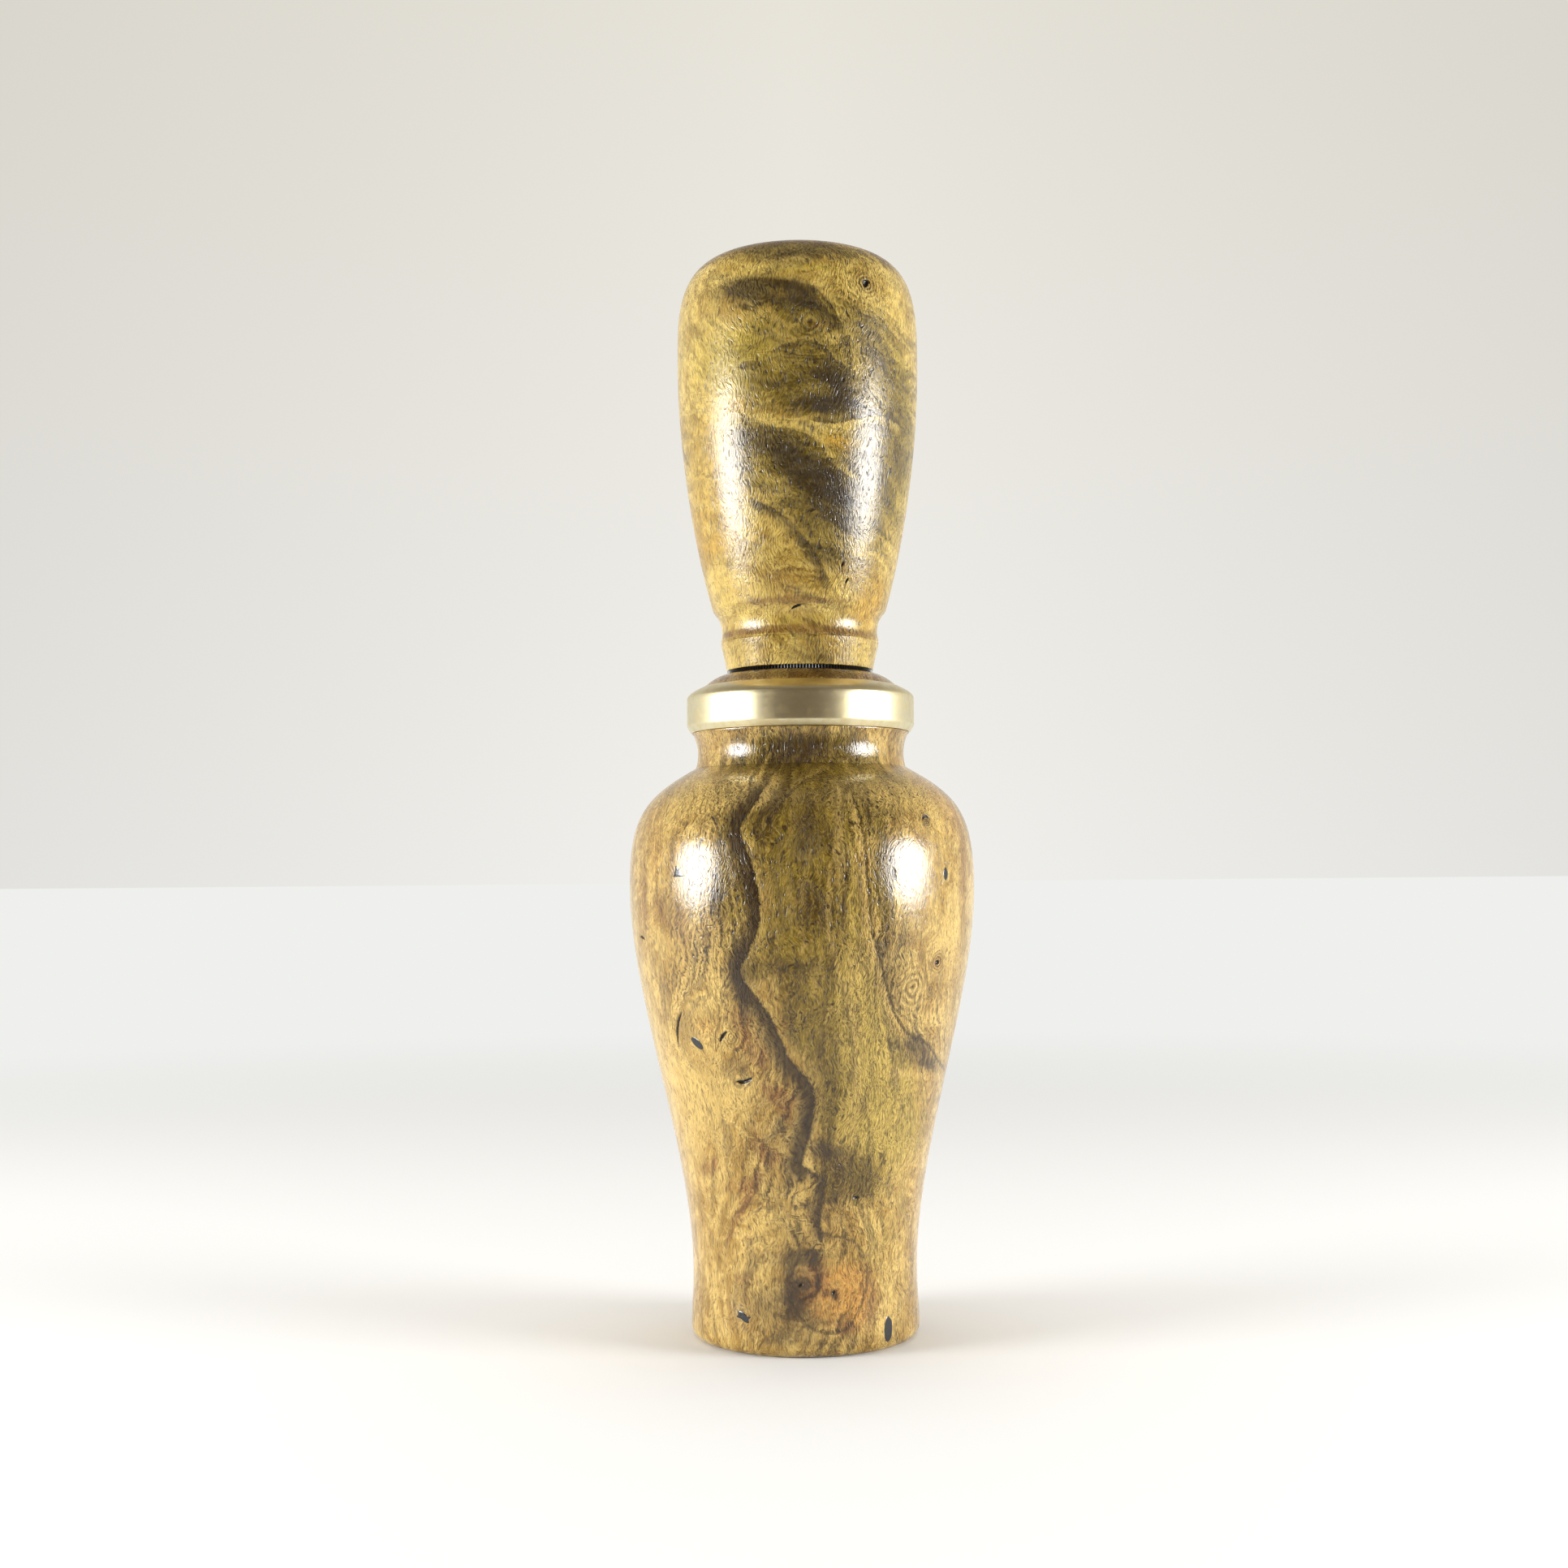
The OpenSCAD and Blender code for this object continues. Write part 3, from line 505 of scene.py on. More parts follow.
BARREL_LEAN, INSERT_LEAN = 0, 76    # degrees from a grain that runs up the call to one that runs round
LINE_INK = 0.7
FAR = 30.0              # the distance to a line where none is near
SPALT_FAR, RINGS_FAR = 9.0, 3.0     # the same as it is painted, in millimetres and in eye radii
CURL_REACH = 7.0        # how far from a line its stripes fade out
BEND_REACH = 6.0        # and how far from it the figure still bends along it
EYE_BEND = 1.1          # how far it bends round an eye, and where the rings end, in eye radii
EYE_END = 1.35
PLAIN_WEIGHT = 0.22     # how much the straight grain counts against the lines and eyes
EYE_WEIGHT = 2.5
PATCH_FALL = 0.8        # how steeply a patch fades
WALL_R = 8.4            # points further out than this are on the outer wall, not in a bore


def round_offset(turn, centre):
    """Degrees from centre to turn, the short way round."""
    return (turn - centre + 180) % 360 - 180


def beside(turn, height, radius, place, tilt=0):
    """Millimetres along and across a mark that lies at the place, tilted by some degrees."""
    x = np.radians(round_offset(turn, place[0])) * radius
    y = height - place[1]
    c, s = math.cos(math.radians(tilt)), math.sin(math.radians(tilt))
    return x * c + y * s, y * c - x * s


def patches(turn, height, radius, spots):
    """The sum of soft elliptical patches at each place, no more than 1."""
    total = np.zeros_like(turn)
    for at_turn, at_height, half_w, half_h, strength, *tilt in spots:
        u, v = beside(turn, height, radius, (at_turn, at_height), *tilt)
        total += strength * np.exp(-PATCH_FALL * ((u / half_w) ** 2 + (v / half_h) ** 2))
    return np.clip(total, 0, 1)


def smooth_route(route, parts=6):
    """The route as a Catmull-Rom curve through its places."""
    p = np.array([route[0]] + list(route) + [route[-1]], float)
    points = []
    for a, b, c, d in zip(p, p[1:], p[2:], p[3:]):
        for i in range(parts):
            t = i / parts
            points.append(0.5 * (2 * b + (c - a) * t + (2 * a - 5 * b + 4 * c - d) * t * t
                                 + (3 * b - a - 3 * c + d) * t**3))
    return np.array(points + [p[-1]])


def folded(turn):
    """Degrees from the front or from the back, so that no seam runs up the call."""
    return np.degrees(np.arcsin(np.sin(np.radians(turn))))


def line_distance(turn, height, radius, route):
    """The signed distance to a route, positive on its left, and its nearest point's turn and height."""
    best = np.full_like(turn, FAR)
    at, up = np.zeros_like(turn), np.zeros_like(turn)
    k = np.radians(1) * radius
    for (t0, h0), (t1, h1) in zip(route, route[1:]):
        x, y = round_offset(turn, t0) * k, height - h0
        dx, dy = (t1 - t0) * k, h1 - h0
        along = np.clip((x * dx + y * dy) / (dx * dx + dy * dy + 1e-9), 0, 1)
        ex, ey = x - along * dx, y - along * dy
        d = np.hypot(ex, ey)
        closer = d < np.abs(best)
        best = np.where(closer, np.where(dx * ey - dy * ex < 0, -d, d), best)
        at = np.where(closer, t0 + along * (t1 - t0), at)
        up = np.where(closer, h0 + along * dy, up)
    return best, at, up


def figure_fields(turn, height, radius, lines, eyes, lean):
    """Fields that lines and eyes give the wood.

    The figure is a coordinate across the grain, in millimetres. It runs round the call, or up it where
    the lean is 90 degrees, but bends along the spalt lines and circles the eyes, so that stripes of it
    look grown.
    """
    k = np.radians(1) * radius
    across, upward = math.cos(math.radians(lean)), math.sin(math.radians(lean))

    def plain(turn, height):
        return folded(turn) * k * across + height * upward

    weight = np.full_like(turn, PLAIN_WEIGHT)
    figure = weight * plain(turn, height)
    spalt, rings = np.full_like(turn, SPALT_FAR), np.full_like(turn, RINGS_FAR)
    curl, show, ink = (np.zeros_like(turn) for _ in range(3))
    sides = {name: np.zeros_like(turn) for name in ("shade_left", "shade_right", "glow_left", "glow_right")}
    for line in lines:
        route = smooth_route(line["route"])
        d, at, up = line_distance(turn, height, radius, route)
        (t0, h0), (t1, h1) = route[0], route[-1]
        front = 1 if math.cos(math.radians(t0)) > 0 else -1
        rising = 1 if (h0 - h1) * across * front + (t1 - t0) * 0.2 * upward > 0 else -1
        fade = np.exp(-(d / line["width"]) ** 2)
        for name, strength in zip(sides, line["dark"] + line["pale"]):
            sides[name] = np.maximum(sides[name], strength * fade)
        curl = np.maximum(curl, np.where(d > 0, *line["curl"]) * np.exp(-(d / CURL_REACH) ** 2))
        closer = np.abs(d) < np.abs(spalt)
        spalt = np.where(closer, d, spalt)
        ink = np.where(closer, line.get("ink", LINE_INK), ink)
        w = np.exp(-(d / BEND_REACH) ** 2)
        figure += w * (rising * d + plain(at, up))
        weight += w
    for place, size, strength in eyes:
        d = np.hypot(*beside(turn, height, radius, place))
        closer = d / size < rings
        rings = np.where(closer, d / size, rings)
        show = np.where(closer, strength * np.clip(EYE_END - d / size, 0, 1), show)
        w = EYE_WEIGHT * np.exp(-(d / (EYE_BEND * size)) ** 2)
        figure += w * (d + plain(*place))
        weight += w
    return dict(sides, spalt=spalt, curl=curl, rings=rings, eye=show, ink=ink, figure=figure / weight)


def pit_profile(turn, height, radius, pit):
    """How deep a pit is at each point, from 0 to 1."""
    place, half_l, half_w, tilt, bow, _ = pit
    u, v = beside(turn, height, radius, place, tilt)
    v = v - bow * (1 - (u / half_l) ** 2)
    return np.sqrt(np.clip(1 - (u / half_l) ** 2 - (v / half_w) ** 2, 0, 1))


def carve(piece, pits):
    """Finer faces round each pit, and the pit sunk into them."""
    turn, height, radius = places(piece.data)
    wall = radius > WALL_R
    work = bmesh.new()
    work.from_mesh(piece.data)
    near = np.zeros(len(turn), bool)
    for place, half_l, _, tilt, bow, _ in pits:
        u, v = beside(turn, height, radius, place, tilt)
        near |= wall & (np.abs(u) < half_l + 0.5) & (np.abs(v - bow / 2) < abs(bow) / 2 + 0.8)
    edges = [e for e in work.edges if near[e.verts[0].index] and near[e.verts[1].index]]
    bmesh.ops.subdivide_edges(work, edges=edges, cuts=3, use_grid_fill=True)
    work.to_mesh(piece.data)
    work.free()
    turn, height, radius = places(piece.data)
    sink, hollow = np.zeros_like(turn), np.zeros_like(turn)
    for pit in pits:
        shape = np.where(radius > WALL_R, pit_profile(turn, height, radius, pit), 0)
        sink = np.maximum(sink, shape * pit[-1])
        hollow = np.maximum(hollow, shape)
    co = np.zeros(len(turn) * 3)
    piece.data.vertices.foreach_get("co", co)
    co = co.reshape(-1, 3)
    co[:, :2] *= (1 - sink / np.maximum(radius, 1e-6))[:, None]
    piece.data.vertices.foreach_set("co", co.ravel())
    piece.data.update()
    return hollow


def paint_fields(piece, lean, lines, eyes, pits, **spots):
    """Carve the pits, and write every field on the piece's points: the figure, and the patches, some of
    which are painted shade and painted light.
    """
    hollow = carve(piece, pits)
    turn, height, radius = places(piece.data)
    wall = np.maximum(radius, WALL_R)
    fields = figure_fields(turn, height, wall, lines, eyes, lean)
    fields["pit"] = hollow
    for name, marks in spots.items():
        fields[name] = patches(turn, height, wall, marks)
    for name, values in fields.items():
        layer = piece.data.attributes.new(name, "FLOAT", "POINT")
        layer.data.foreach_set("value", values.astype(np.float32))


# ---------------------------------------------------------------- materials

def burl(name, gold, light, lime, orange, olive, olive_light, brown, red, coat_roughness, orange_peel):
    """Burl under an oiled gloss: the painted fields give the figure, along with some painted shade and
    painted light, and noise its grain.

    Orange peel is the depth in metres to which the grain shows in the gloss.
    """
    s = Shader(name)
    p = s.place()

    # The noises that the figure is made of.
    wander = s.node("VectorMath", {0: s.noise(p, 0.16, 3, 0.5, out=1), 1: (0.5, 0.5, 0.5)},
                    operation="SUBTRACT")
    flow = s.add(p, s.node("VectorMath", {0: wander, 3: 4.0}, operation="SCALE"))
    mottle = s.noise(flow, 0.42, 4, 0.6, 0.8)
    ragged = s.noise(p, 1.4, 3, 0.65)
    grain = s.stirred(s.stirred(s.field("figure"), mottle, 2.0), ragged, 0.6)
    fleck = s.noise(s.stretch(flow, 4.2, 4.2, 1.35), 1.0, 2, 0.5)
    fibre = s.noise(s.stretch(flow, 8.0, 8.0, 1.8), 1.0, 1, 0.5)
    pore = s.ramp(s.noise(s.stretch(flow, 3.6, 3.6, 1.1), 1.0, 0, 0.5), 0.66, 0.76)
    stripe = s.grown(flow, 0.1, grain, 0.34, 3, 0.6)
    fringe = s.grown(flow, 0.14, s.math("ADD", grain, 90.0), 1.15, 3, 0.55)
    contour = s.math("SINE", s.math("MULTIPLY_ADD", grain, 6.6, s.times(mottle, 7.0)))

    def torn(field, amount, first=0.2, last=0.75):
        """A soft field with its edge torn by the grain."""
        shifted = s.stirred(s.stirred(field, mottle, amount), fringe, amount * 1.2)
        return s.ramp(s.stirred(shifted, fleck, amount * 0.5), first, last)

    line_at = s.stirred(s.stirred(s.field("spalt"), ragged, 0.7), fleck, 0.7)
    left = s.ramp(line_at, -0.12, 0.12)

    def sided(name):
        """A field that differs on the two sides of the spalt lines."""
        right = s.field(name + "_right")
        return s.math("MULTIPLY_ADD", left, s.math("SUBTRACT", s.field(name + "_left"), right), right)

    # The colours, from the broad patches to the fine marks.
    tone = s.ramp(s.math("ADD", s.times(stripe, 0.55), s.times(mottle, 0.45)), 0.4, 0.6)
    base = s.mix(tone, gold, light)

    def lay(paint, amount, share=None):
        """Lay paint over the base, as thickly as the amount and the share of it say."""
        nonlocal base
        base = s.mix(amount if share is None else s.times(amount, share), base, paint)

    lay(lime, torn(s.field("lime"), 0.5), 0.9)
    lay(orange, torn(s.field("orange"), 0.5), 0.8)
    green = torn(s.field("green"), 0.6)
    lay(s.mix(tone, olive, olive_light), green)
    lay(red, torn(s.field("red"), 0.6), 0.8)
    # Pale patches and the pale sides of the lines; some of the barrel's pale patches are painted light and
    # painted sheen.
    lay(light, s.math("MAXIMUM", torn(s.field("pale"), 0.6), torn(sided("glow"), 0.4)), 0.8)

    rings = s.math("SINE", s.times(s.stirred(s.field("rings"), mottle, 0.5), 22.0))
    lay(brown, s.ramp(rings, -0.2, 1.0), s.times(s.field("eye"), 0.7))

    striped = s.math("MULTIPLY_ADD", s.field("curl"), 0.62, s.ramp(mottle, 0.4, 0.65, 0.1, 0.28))
    lay(brown, s.times(s.ramp(fringe, 0.5, 0.6), striped, clamp=True))
    lay(light, s.ramp(fringe, 0.48, 0.4), s.times(striped, 0.5))
    coarse = s.math("SUBTRACT", 1.0, s.times(s.field("silk"), 0.7))
    lay(s.mix(green, light, olive_light), s.ramp(fleck, 0.47, 0.34, 0.0, 0.26), coarse)
    lay(brown, s.ramp(fleck, 0.5, 0.64, 0.0, 0.34), coarse)
    drawn = s.times(s.field("curl"), s.ramp(fleck, 0.4, 0.6, 0.25, 0.75))
    lay(brown, s.ramp(contour, 0.0, 1.0), drawn)
    lay(light, s.ramp(contour, -0.2, -1.0, 0.0, 0.5), drawn)
    # Dark patches and the dark sides of the spalt lines; some of the barrel's dark patches are painted
    # shade.
    smear_and_shade = s.math("MAXIMUM", torn(s.field("dark"), 0.8, 0.1, 1.1), torn(sided("shade"), 0.35, 0.12, 0.9))
    lay(brown, smear_and_shade, 0.9)

    line = s.times(s.ramp(s.math("ABSOLUTE", line_at), 0.04, 0.3, 1.0, 0.0), s.field("ink"))
    lay(brown, line)
    lay(brown, s.ramp(fibre, 0.54, 0.68, 0.0, 0.42), coarse)
    lay(light, s.ramp(fibre, 0.46, 0.32, 0.0, 0.24), s.math("SUBTRACT", coarse, smear_and_shade, clamp=True))
    pore = s.times(pore, s.math("MULTIPLY_ADD", green, 0.5, 0.3))
    lay(brown, pore)
    lay(colour(26, 20, 14), s.ramp(s.field("pit"), 0.0, 0.5))

    # What stands up and what lies deep.
    sunk = s.math("ADD", s.times(fleck, 0.75), s.times(fibre, 0.3))
    relief = s.math("SUBTRACT", 1.0, sunk)
    relief = s.math("MULTIPLY_ADD", line, -0.25, relief)
    relief = s.math("SUBTRACT", relief, pore)
    relief = s.math("MULTIPLY_ADD", s.times(rings, s.field("eye")), -0.3, relief)
    relief = s.math("MULTIPLY_ADD", s.times(contour, s.field("curl")), -0.08, relief)
    rough = s.ramp(fleck, 0.35, 0.7, 0.34, 0.5)
    return s.finish(base_color=base, roughness=rough, normal=s.bump(relief, 1.0, 0.0004),
                    specular_ior_level=0.1, coat_weight=1.0, coat_roughness=coat_roughness,
                    coat_ior=1.5, coat_normal=s.bump(relief, 0.5, orange_peel))


def brass():
    """Lathe-polished pale brass: very fine rings, a soft haze and a few smudges."""
    s = Shader("brass_satin")
    p = s.place()
    lathe = s.noise(s.stretch(p, 0.15, 0.15, 22.0), 1.0, 2, 0.6)
    haze = s.noise(p, 0.7, 4, 0.6)
    base = s.mix(s.ramp(haze, 0.4, 0.65), colour(232, 222, 184), colour(224, 210, 166))
    rough = s.math("ADD", s.ramp(lathe, 0.3, 0.7, 0.29, 0.33), s.ramp(haze, 0.45, 0.7, 0.0, 0.06))
    return s.finish(base_color=base, metallic=1.0, roughness=rough, normal=s.bump(lathe, 0.03, 0.00003))


def resin():
    """Black resin, polished flush, with fine dust in it."""
    s = Shader("black_resin_gloss")
    p = s.place()
    dust = s.ramp(s.noise(p, 9.0, 2, 0.5), 0.62, 0.75)
    base = s.mix(dust, colour(30, 31, 34), colour(92, 94, 98))
    return s.finish(base_color=base, roughness=s.ramp(dust, 0, 1, 0.14, 0.3), coat_weight=0.5,
                    coat_roughness=0.08, normal=s.bump(s.noise(p, 2.0, 2, 0.5), 0.08, 0.0001))


def plastic(name, dark, light, roughness, ring=True):
    """Turned or moulded plastic: faint tool rings, a little mottle."""
    s = Shader(name)
    p = s.place()
    rings = s.noise(s.stretch(p, 0.2, 0.2, 9.0 if ring else 0.8), 1.0, 2, 0.6)
    spots = s.noise(p, 1.6, 4, 0.6)
    base = s.mix(s.ramp(spots, 0.35, 0.7), dark, light)
    rough = s.ramp(spots, 0.3, 0.7, roughness - 0.06, roughness + 0.08)
    return s.finish(base_color=base, roughness=rough, normal=s.bump(rings, 0.12, 0.00005))


def cork():
    """Raw cork: pale granules with dark gaps and pits."""
    s = Shader("raw_cork")
    p = s.place()
    cells = s.node("TexVoronoi", {"Vector": p, "Scale": 1.3}, feature="DISTANCE_TO_EDGE")
    specks = s.noise(p, 3.2, 3, 0.6)
    base = s.mix(s.noise(p, 1.1, 3, 0.6), colour(176, 132, 88), colour(206, 166, 118))
    base = s.mix(s.ramp(cells, 0.0, 0.09, 0.7, 0.0), base, colour(110, 70, 40))
    base = s.mix(s.ramp(specks, 0.6, 0.72, 0.0, 0.7), base, colour(84, 52, 30))
    height = s.math("ADD", s.ramp(cells, 0, 0.2), specks)
    return s.finish(base_color=base, roughness=0.9, normal=s.bump(height, 0.5, 0.0002))


def reed_film():
    """Frosted polyester film, scuffed along its length."""
    s = Shader("reed_film")
    p = s.place()
    scuff = s.noise(s.stretch(p, 4.0, 1.0, 0.35), 1.0, 3, 0.6)
    base = s.mix(s.ramp(scuff, 0.4, 0.7), colour(226, 226, 214), colour(205, 206, 196))
    return s.finish(base_color=base, roughness=s.ramp(scuff, 0.35, 0.7, 0.12, 0.3),
                    transmission_weight=0.35, ior=1.6, normal=s.bump(scuff, 0.08, 0.00003))


# ---------------------------------------------------------------- pieces

def make_barrel():
    barrel = turned("barrel_burl", barrel_outline(), around=360)
    paint_fields(barrel, BARREL_LEAN, BARREL_LINES, BARREL_EYES, BARREL_PITS,
                 dark=BARREL_DARK_AND_SHADE, green=BARREL_GREEN, red=BARREL_RED, pale=BARREL_PALE_AND_LIGHT,
                 lime=BARREL_LIME_AND_LIGHT, orange=BARREL_ORANGE, silk=BARREL_SILK)
    wood = burl("burl_gold", gold=colour(158, 121, 46), light=colour(216, 182, 102),
                lime=colour(186, 160, 70), orange=colour(204, 144, 58), olive=colour(88, 68, 10),
                olive_light=colour(142, 117, 30), brown=colour(50, 33, 7), red=colour(124, 72, 24),
                coat_roughness=0.19, orange_peel=0.00006)
    wear(barrel, wood)
    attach(barrel, "barrel")
    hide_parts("barrel")


def make_band():
    band = turned("band_turned", band_outline(), around=256)
    wear(band, brass())
    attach(band, "barrel")
    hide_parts("brass_band")


def outer_radius(height):
    """The barrel's outer radius at a height below its band, both in millimetres."""
    side = np.array([p for p in barrel_outline() if p[0] > 12.5 and p[1] <= BAND_LOW])
    return np.interp(height, side[:, 1], side[:, 0])


OVAL_POINTS = 40


def oval(w, h, pinch=0.0):
    """An oval loop. The pinch draws its two ends, up and down, to points."""
    return [(w / 2 * math.cos(a) * (1 - pinch * abs(math.sin(a))), h / 2 * math.sin(a))
            for a in np.linspace(0, 2 * math.pi, OVAL_POINTS, endpoint=False)]


# The resin fills: node, turn, tilt, and outline in millimetres from the middle.
FILLS = [
    ("fill_left_shoulder", -42.5, 0, [(-0.85, -0.54), (0.1, -0.5), (0.85, -0.4), (0.5, 0.1), (0.38, 0.54),
                                      (0, 0.4), (-0.47, 0.8), (-0.6, 0.07)]),
    ("fill_right_shoulder", 52.7, -2, oval(1, 1.6, 0.35)),
    ("fill_left_oval", -41.7, -34, oval(2.1, 0.95)),
    ("fill_front_foot", -32.2, 0, [(-1.05, 0.88), (-0.64, 0.27), (-0.9, -0.1), (-0.32, -0.27),
                                   (0.32, -0.61), (0.88, -0.68), (0.85, -0.27), (1.2, 0.07), (0.75, -0.02),
                                   (0.32, 0.34), (-0.16, 0.54), (-0.61, 0.61)]),
    ("fill_rim", 44.3, 0, [(-0.13, -1.5), (0.25, -1.33), (0.53, -0.85), (0.72, 0.11), (0.63, 0.93),
                           (0.1, 1.52), (-0.32, 1.2), (-0.61, 0.38), (-0.67, -0.58), (-0.51, -1.26)]),
    ("fill_back_belly", 158, 18, oval(1.3, 3, 0.35)),
    ("fill_back_waist", -146, -12, oval(1.2, 1.9)),
]


def make_fill(node, turn, tilt, outline, material):
    """Resin that has filled a void: a skin that stands just proud of the wood, over a plug."""
    middle = (low(node).z + high(node).z) / 2
    drawn_by_hand = len(outline) < OVAL_POINTS
    loop = smooth_route([*outline, outline[0]], 4)[:-1] if drawn_by_hand else np.array(outline)
    c, s = math.cos(math.radians(tilt)), math.sin(math.radians(tilt))
    loop = loop @ np.array([[c, s], [-s, c]])
    widths = (1.0, 1.0, 0.94, 0.8, 0.5)
    proud = (-0.9, 0.0, 0.012, 0.018, 0.018)
    rings = [loop * k for k in widths]
    verts = []
    for ring, out in zip(rings, proud):
        for u, v in ring:
            height = max(middle + v, 0.02)
            r = outer_radius(height) + out
            a = math.radians(turn) + u / r
            verts.append(Vector((r * math.sin(a), -r * math.cos(a), height)) * MM)
    n = len(loop)
    faces = [(k * n + i, k * n + (i + 1) % n, (k + 1) * n + (i + 1) % n, (k + 1) * n + i)
             for k in range(len(rings) - 1) for i in range(n)]
    for last in (0, len(rings) - 1):
        verts.append(sum((verts[last * n + i] for i in range(n)), Vector()) / n)
        faces += [(last * n + i, last * n + (i + 1) % n, len(verts) - 1) for i in range(n)]
    piece = mesh_piece(node + "_resin", verts, faces)
    wear(piece, material)
    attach(piece, "barrel")
    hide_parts(node)


def make_fills():
    black_resin = resin()
    for node, turn, tilt, outline in FILLS:
        make_fill(node, turn, tilt, outline, black_resin)


def sleeve_outline():
    """The tenon sleeve: chamfered end, two ring grooves, knurled collar and glued spigot."""
    body, bore, spigot, floor, half = 7.85, 4.81, 6.5, 6.35, 1.2
    points = [np.array((bore + 0.3, SLEEVE_LOW))]
    points += straight(points[-1], (body - 0.4, SLEEVE_LOW), 2)
    points += straight(points[-1], (body, SLEEVE_LOW + 0.4), 0.5)
    for z in (67.0, 77.0):
        ring = [points[-1], (body, z - half), (floor, z - half), (floor, z + half), (body, z + half),
                (body, z + 2)]
        points += straight(ring[0], ring[1], 1.0)
        for before, p, after in zip(ring, ring[1:], ring[2:]):
            points += corner(p, before, after)
    points += straight(points[-1], (body, COLLAR_LOW), 1.0)
    points += corner((COLLAR_R, COLLAR_LOW), (body, COLLAR_LOW), (COLLAR_R, INSERT_LOW), 0.06)
    points += corner((COLLAR_R, INSERT_LOW), (COLLAR_R, COLLAR_LOW), (spigot, INSERT_LOW), 0.06)
    points += straight((COLLAR_R - 0.3, INSERT_LOW), (spigot, INSERT_LOW), 1.5)
    points += straight(points[-1], (spigot, SLEEVE_TOP), 2.0) + [np.array((bore, SLEEVE_TOP))]
    points += straight(points[-1], (bore, SLEEVE_LOW + 0.3), 4.0)
    return points


def make_sleeve():
    teeth, depth = 148, 0.2

    def knurl(turn, r, z):
        on_collar = (z > COLLAR_LOW - 0.01) & (z < INSERT_LOW + 0.01) & (r > COLLAR_R - 0.1)
        return np.where(on_collar, depth * (0.5 - 0.5 * np.cos(turn * teeth)), 0.0)

    sleeve = turned("tenon_sleeve_knurled", sleeve_outline(), teeth * 4, knurl)
    wear(sleeve, plastic("black_acetal", colour(18, 18, 19), colour(32, 30, 29), 0.32))
    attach(sleeve, "stopper")
    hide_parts("tenon_sleeve")


def make_insert():
    insert = turned("insert_burl", insert_outline(), around=288)
    paint_fields(insert, INSERT_LEAN, INSERT_LINES, INSERT_EYES, INSERT_PITS,
                 dark=INSERT_DARK, green=INSERT_GREEN, red=INSERT_RED, pale=INSERT_PALE,
                 lime=INSERT_LIME, orange=INSERT_ORANGE, silk=INSERT_SILK)
    wood = burl("burl_green", gold=colour(164, 131, 46), light=colour(220, 190, 100),
                lime=colour(184, 160, 60), orange=colour(212, 162, 40), olive=colour(90, 72, 14),
                olive_light=colour(146, 122, 36), brown=colour(46, 32, 8), red=colour(118, 76, 24),
                coat_roughness=0.24, orange_peel=0.00009)
    wear(insert, wood)
    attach(insert, "stopper")
    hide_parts("insert_body")


def dress_cad_nodes():
    """Materials for the nodes that keep their CAD mesh, out of sight until the insert is pulled."""
    ivory = plastic("tone_board_ivory", colour(222, 214, 190), colour(232, 226, 206), 0.38, False)
    wedge = cork()
    rubber = plastic("o_ring_rubber", colour(16, 16, 16), colour(26, 26, 26), 0.55, False)
    film = reed_film()
    looks = {"tone_board": ivory, "cork_wedge": wedge, "o_ring_lower": rubber, "o_ring_upper": rubber,
             "long_reed": film, "short_reed": film}
    for node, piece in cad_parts.items():
        if node in looks:
            wear(piece, looks[node])


# ---------------------------------------------------------------- stage, light and camera

LENS_MM = 45.65
CAMERA_BACK = 250.4       # millimetres from the call's axis
CAMERA_HEIGHT = 57.5


def make_camera():
    camera = bpy.data.objects.new("camera", bpy.data.cameras.new("camera"))
    bpy.context.scene.collection.objects.link(camera)
    camera.data.lens = LENS_MM
    camera.data.sensor_width = 36.0
    camera.data.clip_start = 0.01
    camera.data.clip_end = 50.0
    up_tilt, left_turn, roll = (math.radians(angle) for angle in (2.48, 0.49, -0.477))
    turn = (Matrix.Rotation(left_turn, 4, "Z") @ Matrix.Rotation(math.pi / 2 + up_tilt, 4, "X")
            @ Matrix.Rotation(roll, 4, "Z"))
    camera.matrix_world = Matrix.Translation(Vector((0, -CAMERA_BACK, CAMERA_HEIGHT)) * MM) @ turn
    bpy.context.scene.camera = camera


def softbox(name, turn, rise, distance, width, height, power):
    """A soft oval light that faces the call's middle. The turn is from the camera's side."""
    data = bpy.data.lights.new(name, "AREA")
    data.shape = "ELLIPSE"
    data.size, data.size_y, data.energy = width, height, power
    light = bpy.data.objects.new(name, data)
    light.visible_camera = False
    bpy.context.scene.collection.objects.link(light)
    a, e = math.radians(turn), math.radians(rise)
    out = Vector((math.sin(a) * math.cos(e), -math.cos(a) * math.cos(e), math.sin(e)))
    target = Vector((0, 0, INSERT_TOP * MM / 2))
    facing = out.to_track_quat("Z", "Y").to_matrix().to_4x4()
    light.matrix_world = Matrix.Translation(target + out * distance) @ facing
    return light


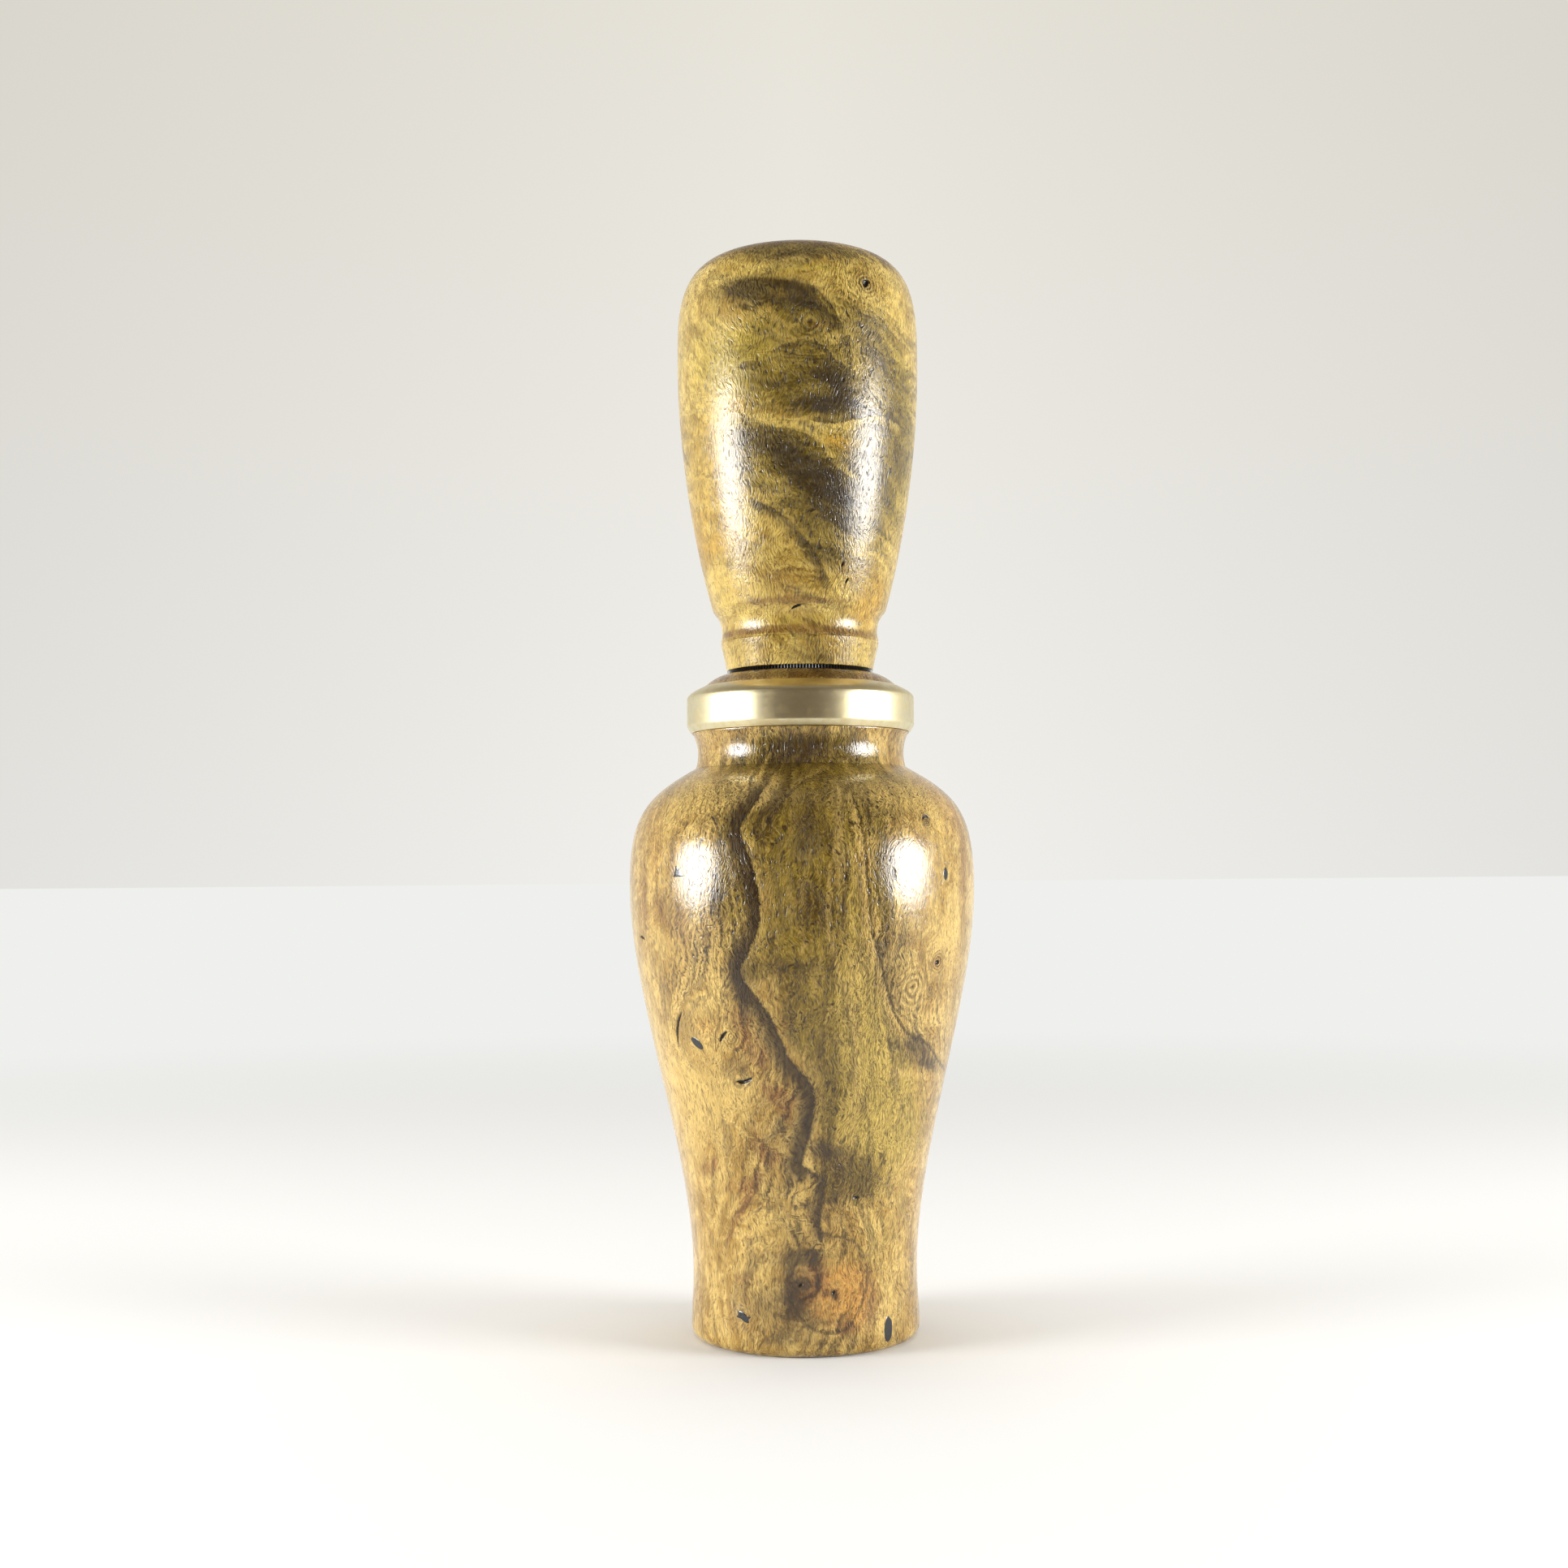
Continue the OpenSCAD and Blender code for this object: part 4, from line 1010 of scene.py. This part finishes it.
def make_stage():
    """Soft lights on both sides and a broad one overhead, and the floor in the light tent."""
    for name, turn in (("softbox_left", -72), ("softbox_right", 73)):
        softbox(name, turn, rise=3.7, distance=0.465, width=0.24, height=0.175, power=2.85)
    overhead = softbox("overhead", 180, rise=84, distance=0.9, width=0.9, height=0.9, power=4.0)
    overhead.visible_glossy = False
    floor = mesh_piece("floor", [(-9, -9, 0), (9, -9, 0), (9, 9, 0), (-9, 9, 0)], [(0, 1, 2, 3)])
    wear(floor, pale_floor())
    make_world()


def pale_floor():
    """White paper by the call, which fades into the tent's own glow further off.

    What the call mirrors and gathers from the floor is less: the paper ends in front of it.
    """
    s = Shader("pale_floor")
    place = s.place()
    away = s.node("VectorMath", {0: place}, out=1, operation="LENGTH")
    front = s.ramp(s.node("SeparateXYZ", {0: place}, out=1), -40.0, -220.0)
    seen = s.node("LightPath", out=0)
    dim = s.times(front, s.math("SUBTRACT", 1.0, seen))
    paper = s.mix(s.noise(place, 0.004, 2), colour(240, 241, 241), colour(236, 237, 237))
    near = s.node("BsdfDiffuse", {"Color": s.mix(dim, paper, colour(120, 108, 92))})
    glow = s.mix(dim, colour(239, 240, 237), colour(110, 98, 84))
    far = s.node("Emission", {"Color": glow, "Strength": 1.0})
    return s.close(s.node("MixShader", {0: s.ramp(away, 110.0, 480.0), 1: near, 2: far}))


def make_world():
    """A light tent: pale behind and above the call, dark and warm where the room opens in front."""
    world = bpy.data.worlds.new("light_tent")
    bpy.context.scene.world = world
    s = Shader(world)
    way = s.node("TexCoord", out=0)
    x, y, z = (s.node("SeparateXYZ", {0: way}, out=i) for i in range(3))
    back = s.times(s.ramp(y, -0.75, 0.05), s.ramp(z, 0.4, 0.85, 1.0, 0.3))
    back = s.math("MAXIMUM", back, s.node("LightPath", out=0))
    rise = s.ramp(z, 0.0, 0.42, smooth=False)
    aside = s.ramp(s.math("ABSOLUTE", x), 0.0, 0.42, 1.0, 0.84, smooth=False)
    wall = s.mix(rise, colour(243, 242, 238), colour(231, 227, 217))
    wall = s.node("VectorMath", {0: wall, 3: aside}, operation="SCALE")
    sky = s.mix(back, (0.13, 0.10, 0.075, 1), wall)
    s.close(s.node("Background", {"Color": sky, "Strength": 1.0}), "World")


bpy.context.scene.view_settings.view_transform = "Standard"
make_camera()
make_stage()
make_barrel()
make_band()
make_fills()
make_insert()
make_sleeve()
dress_cad_nodes()
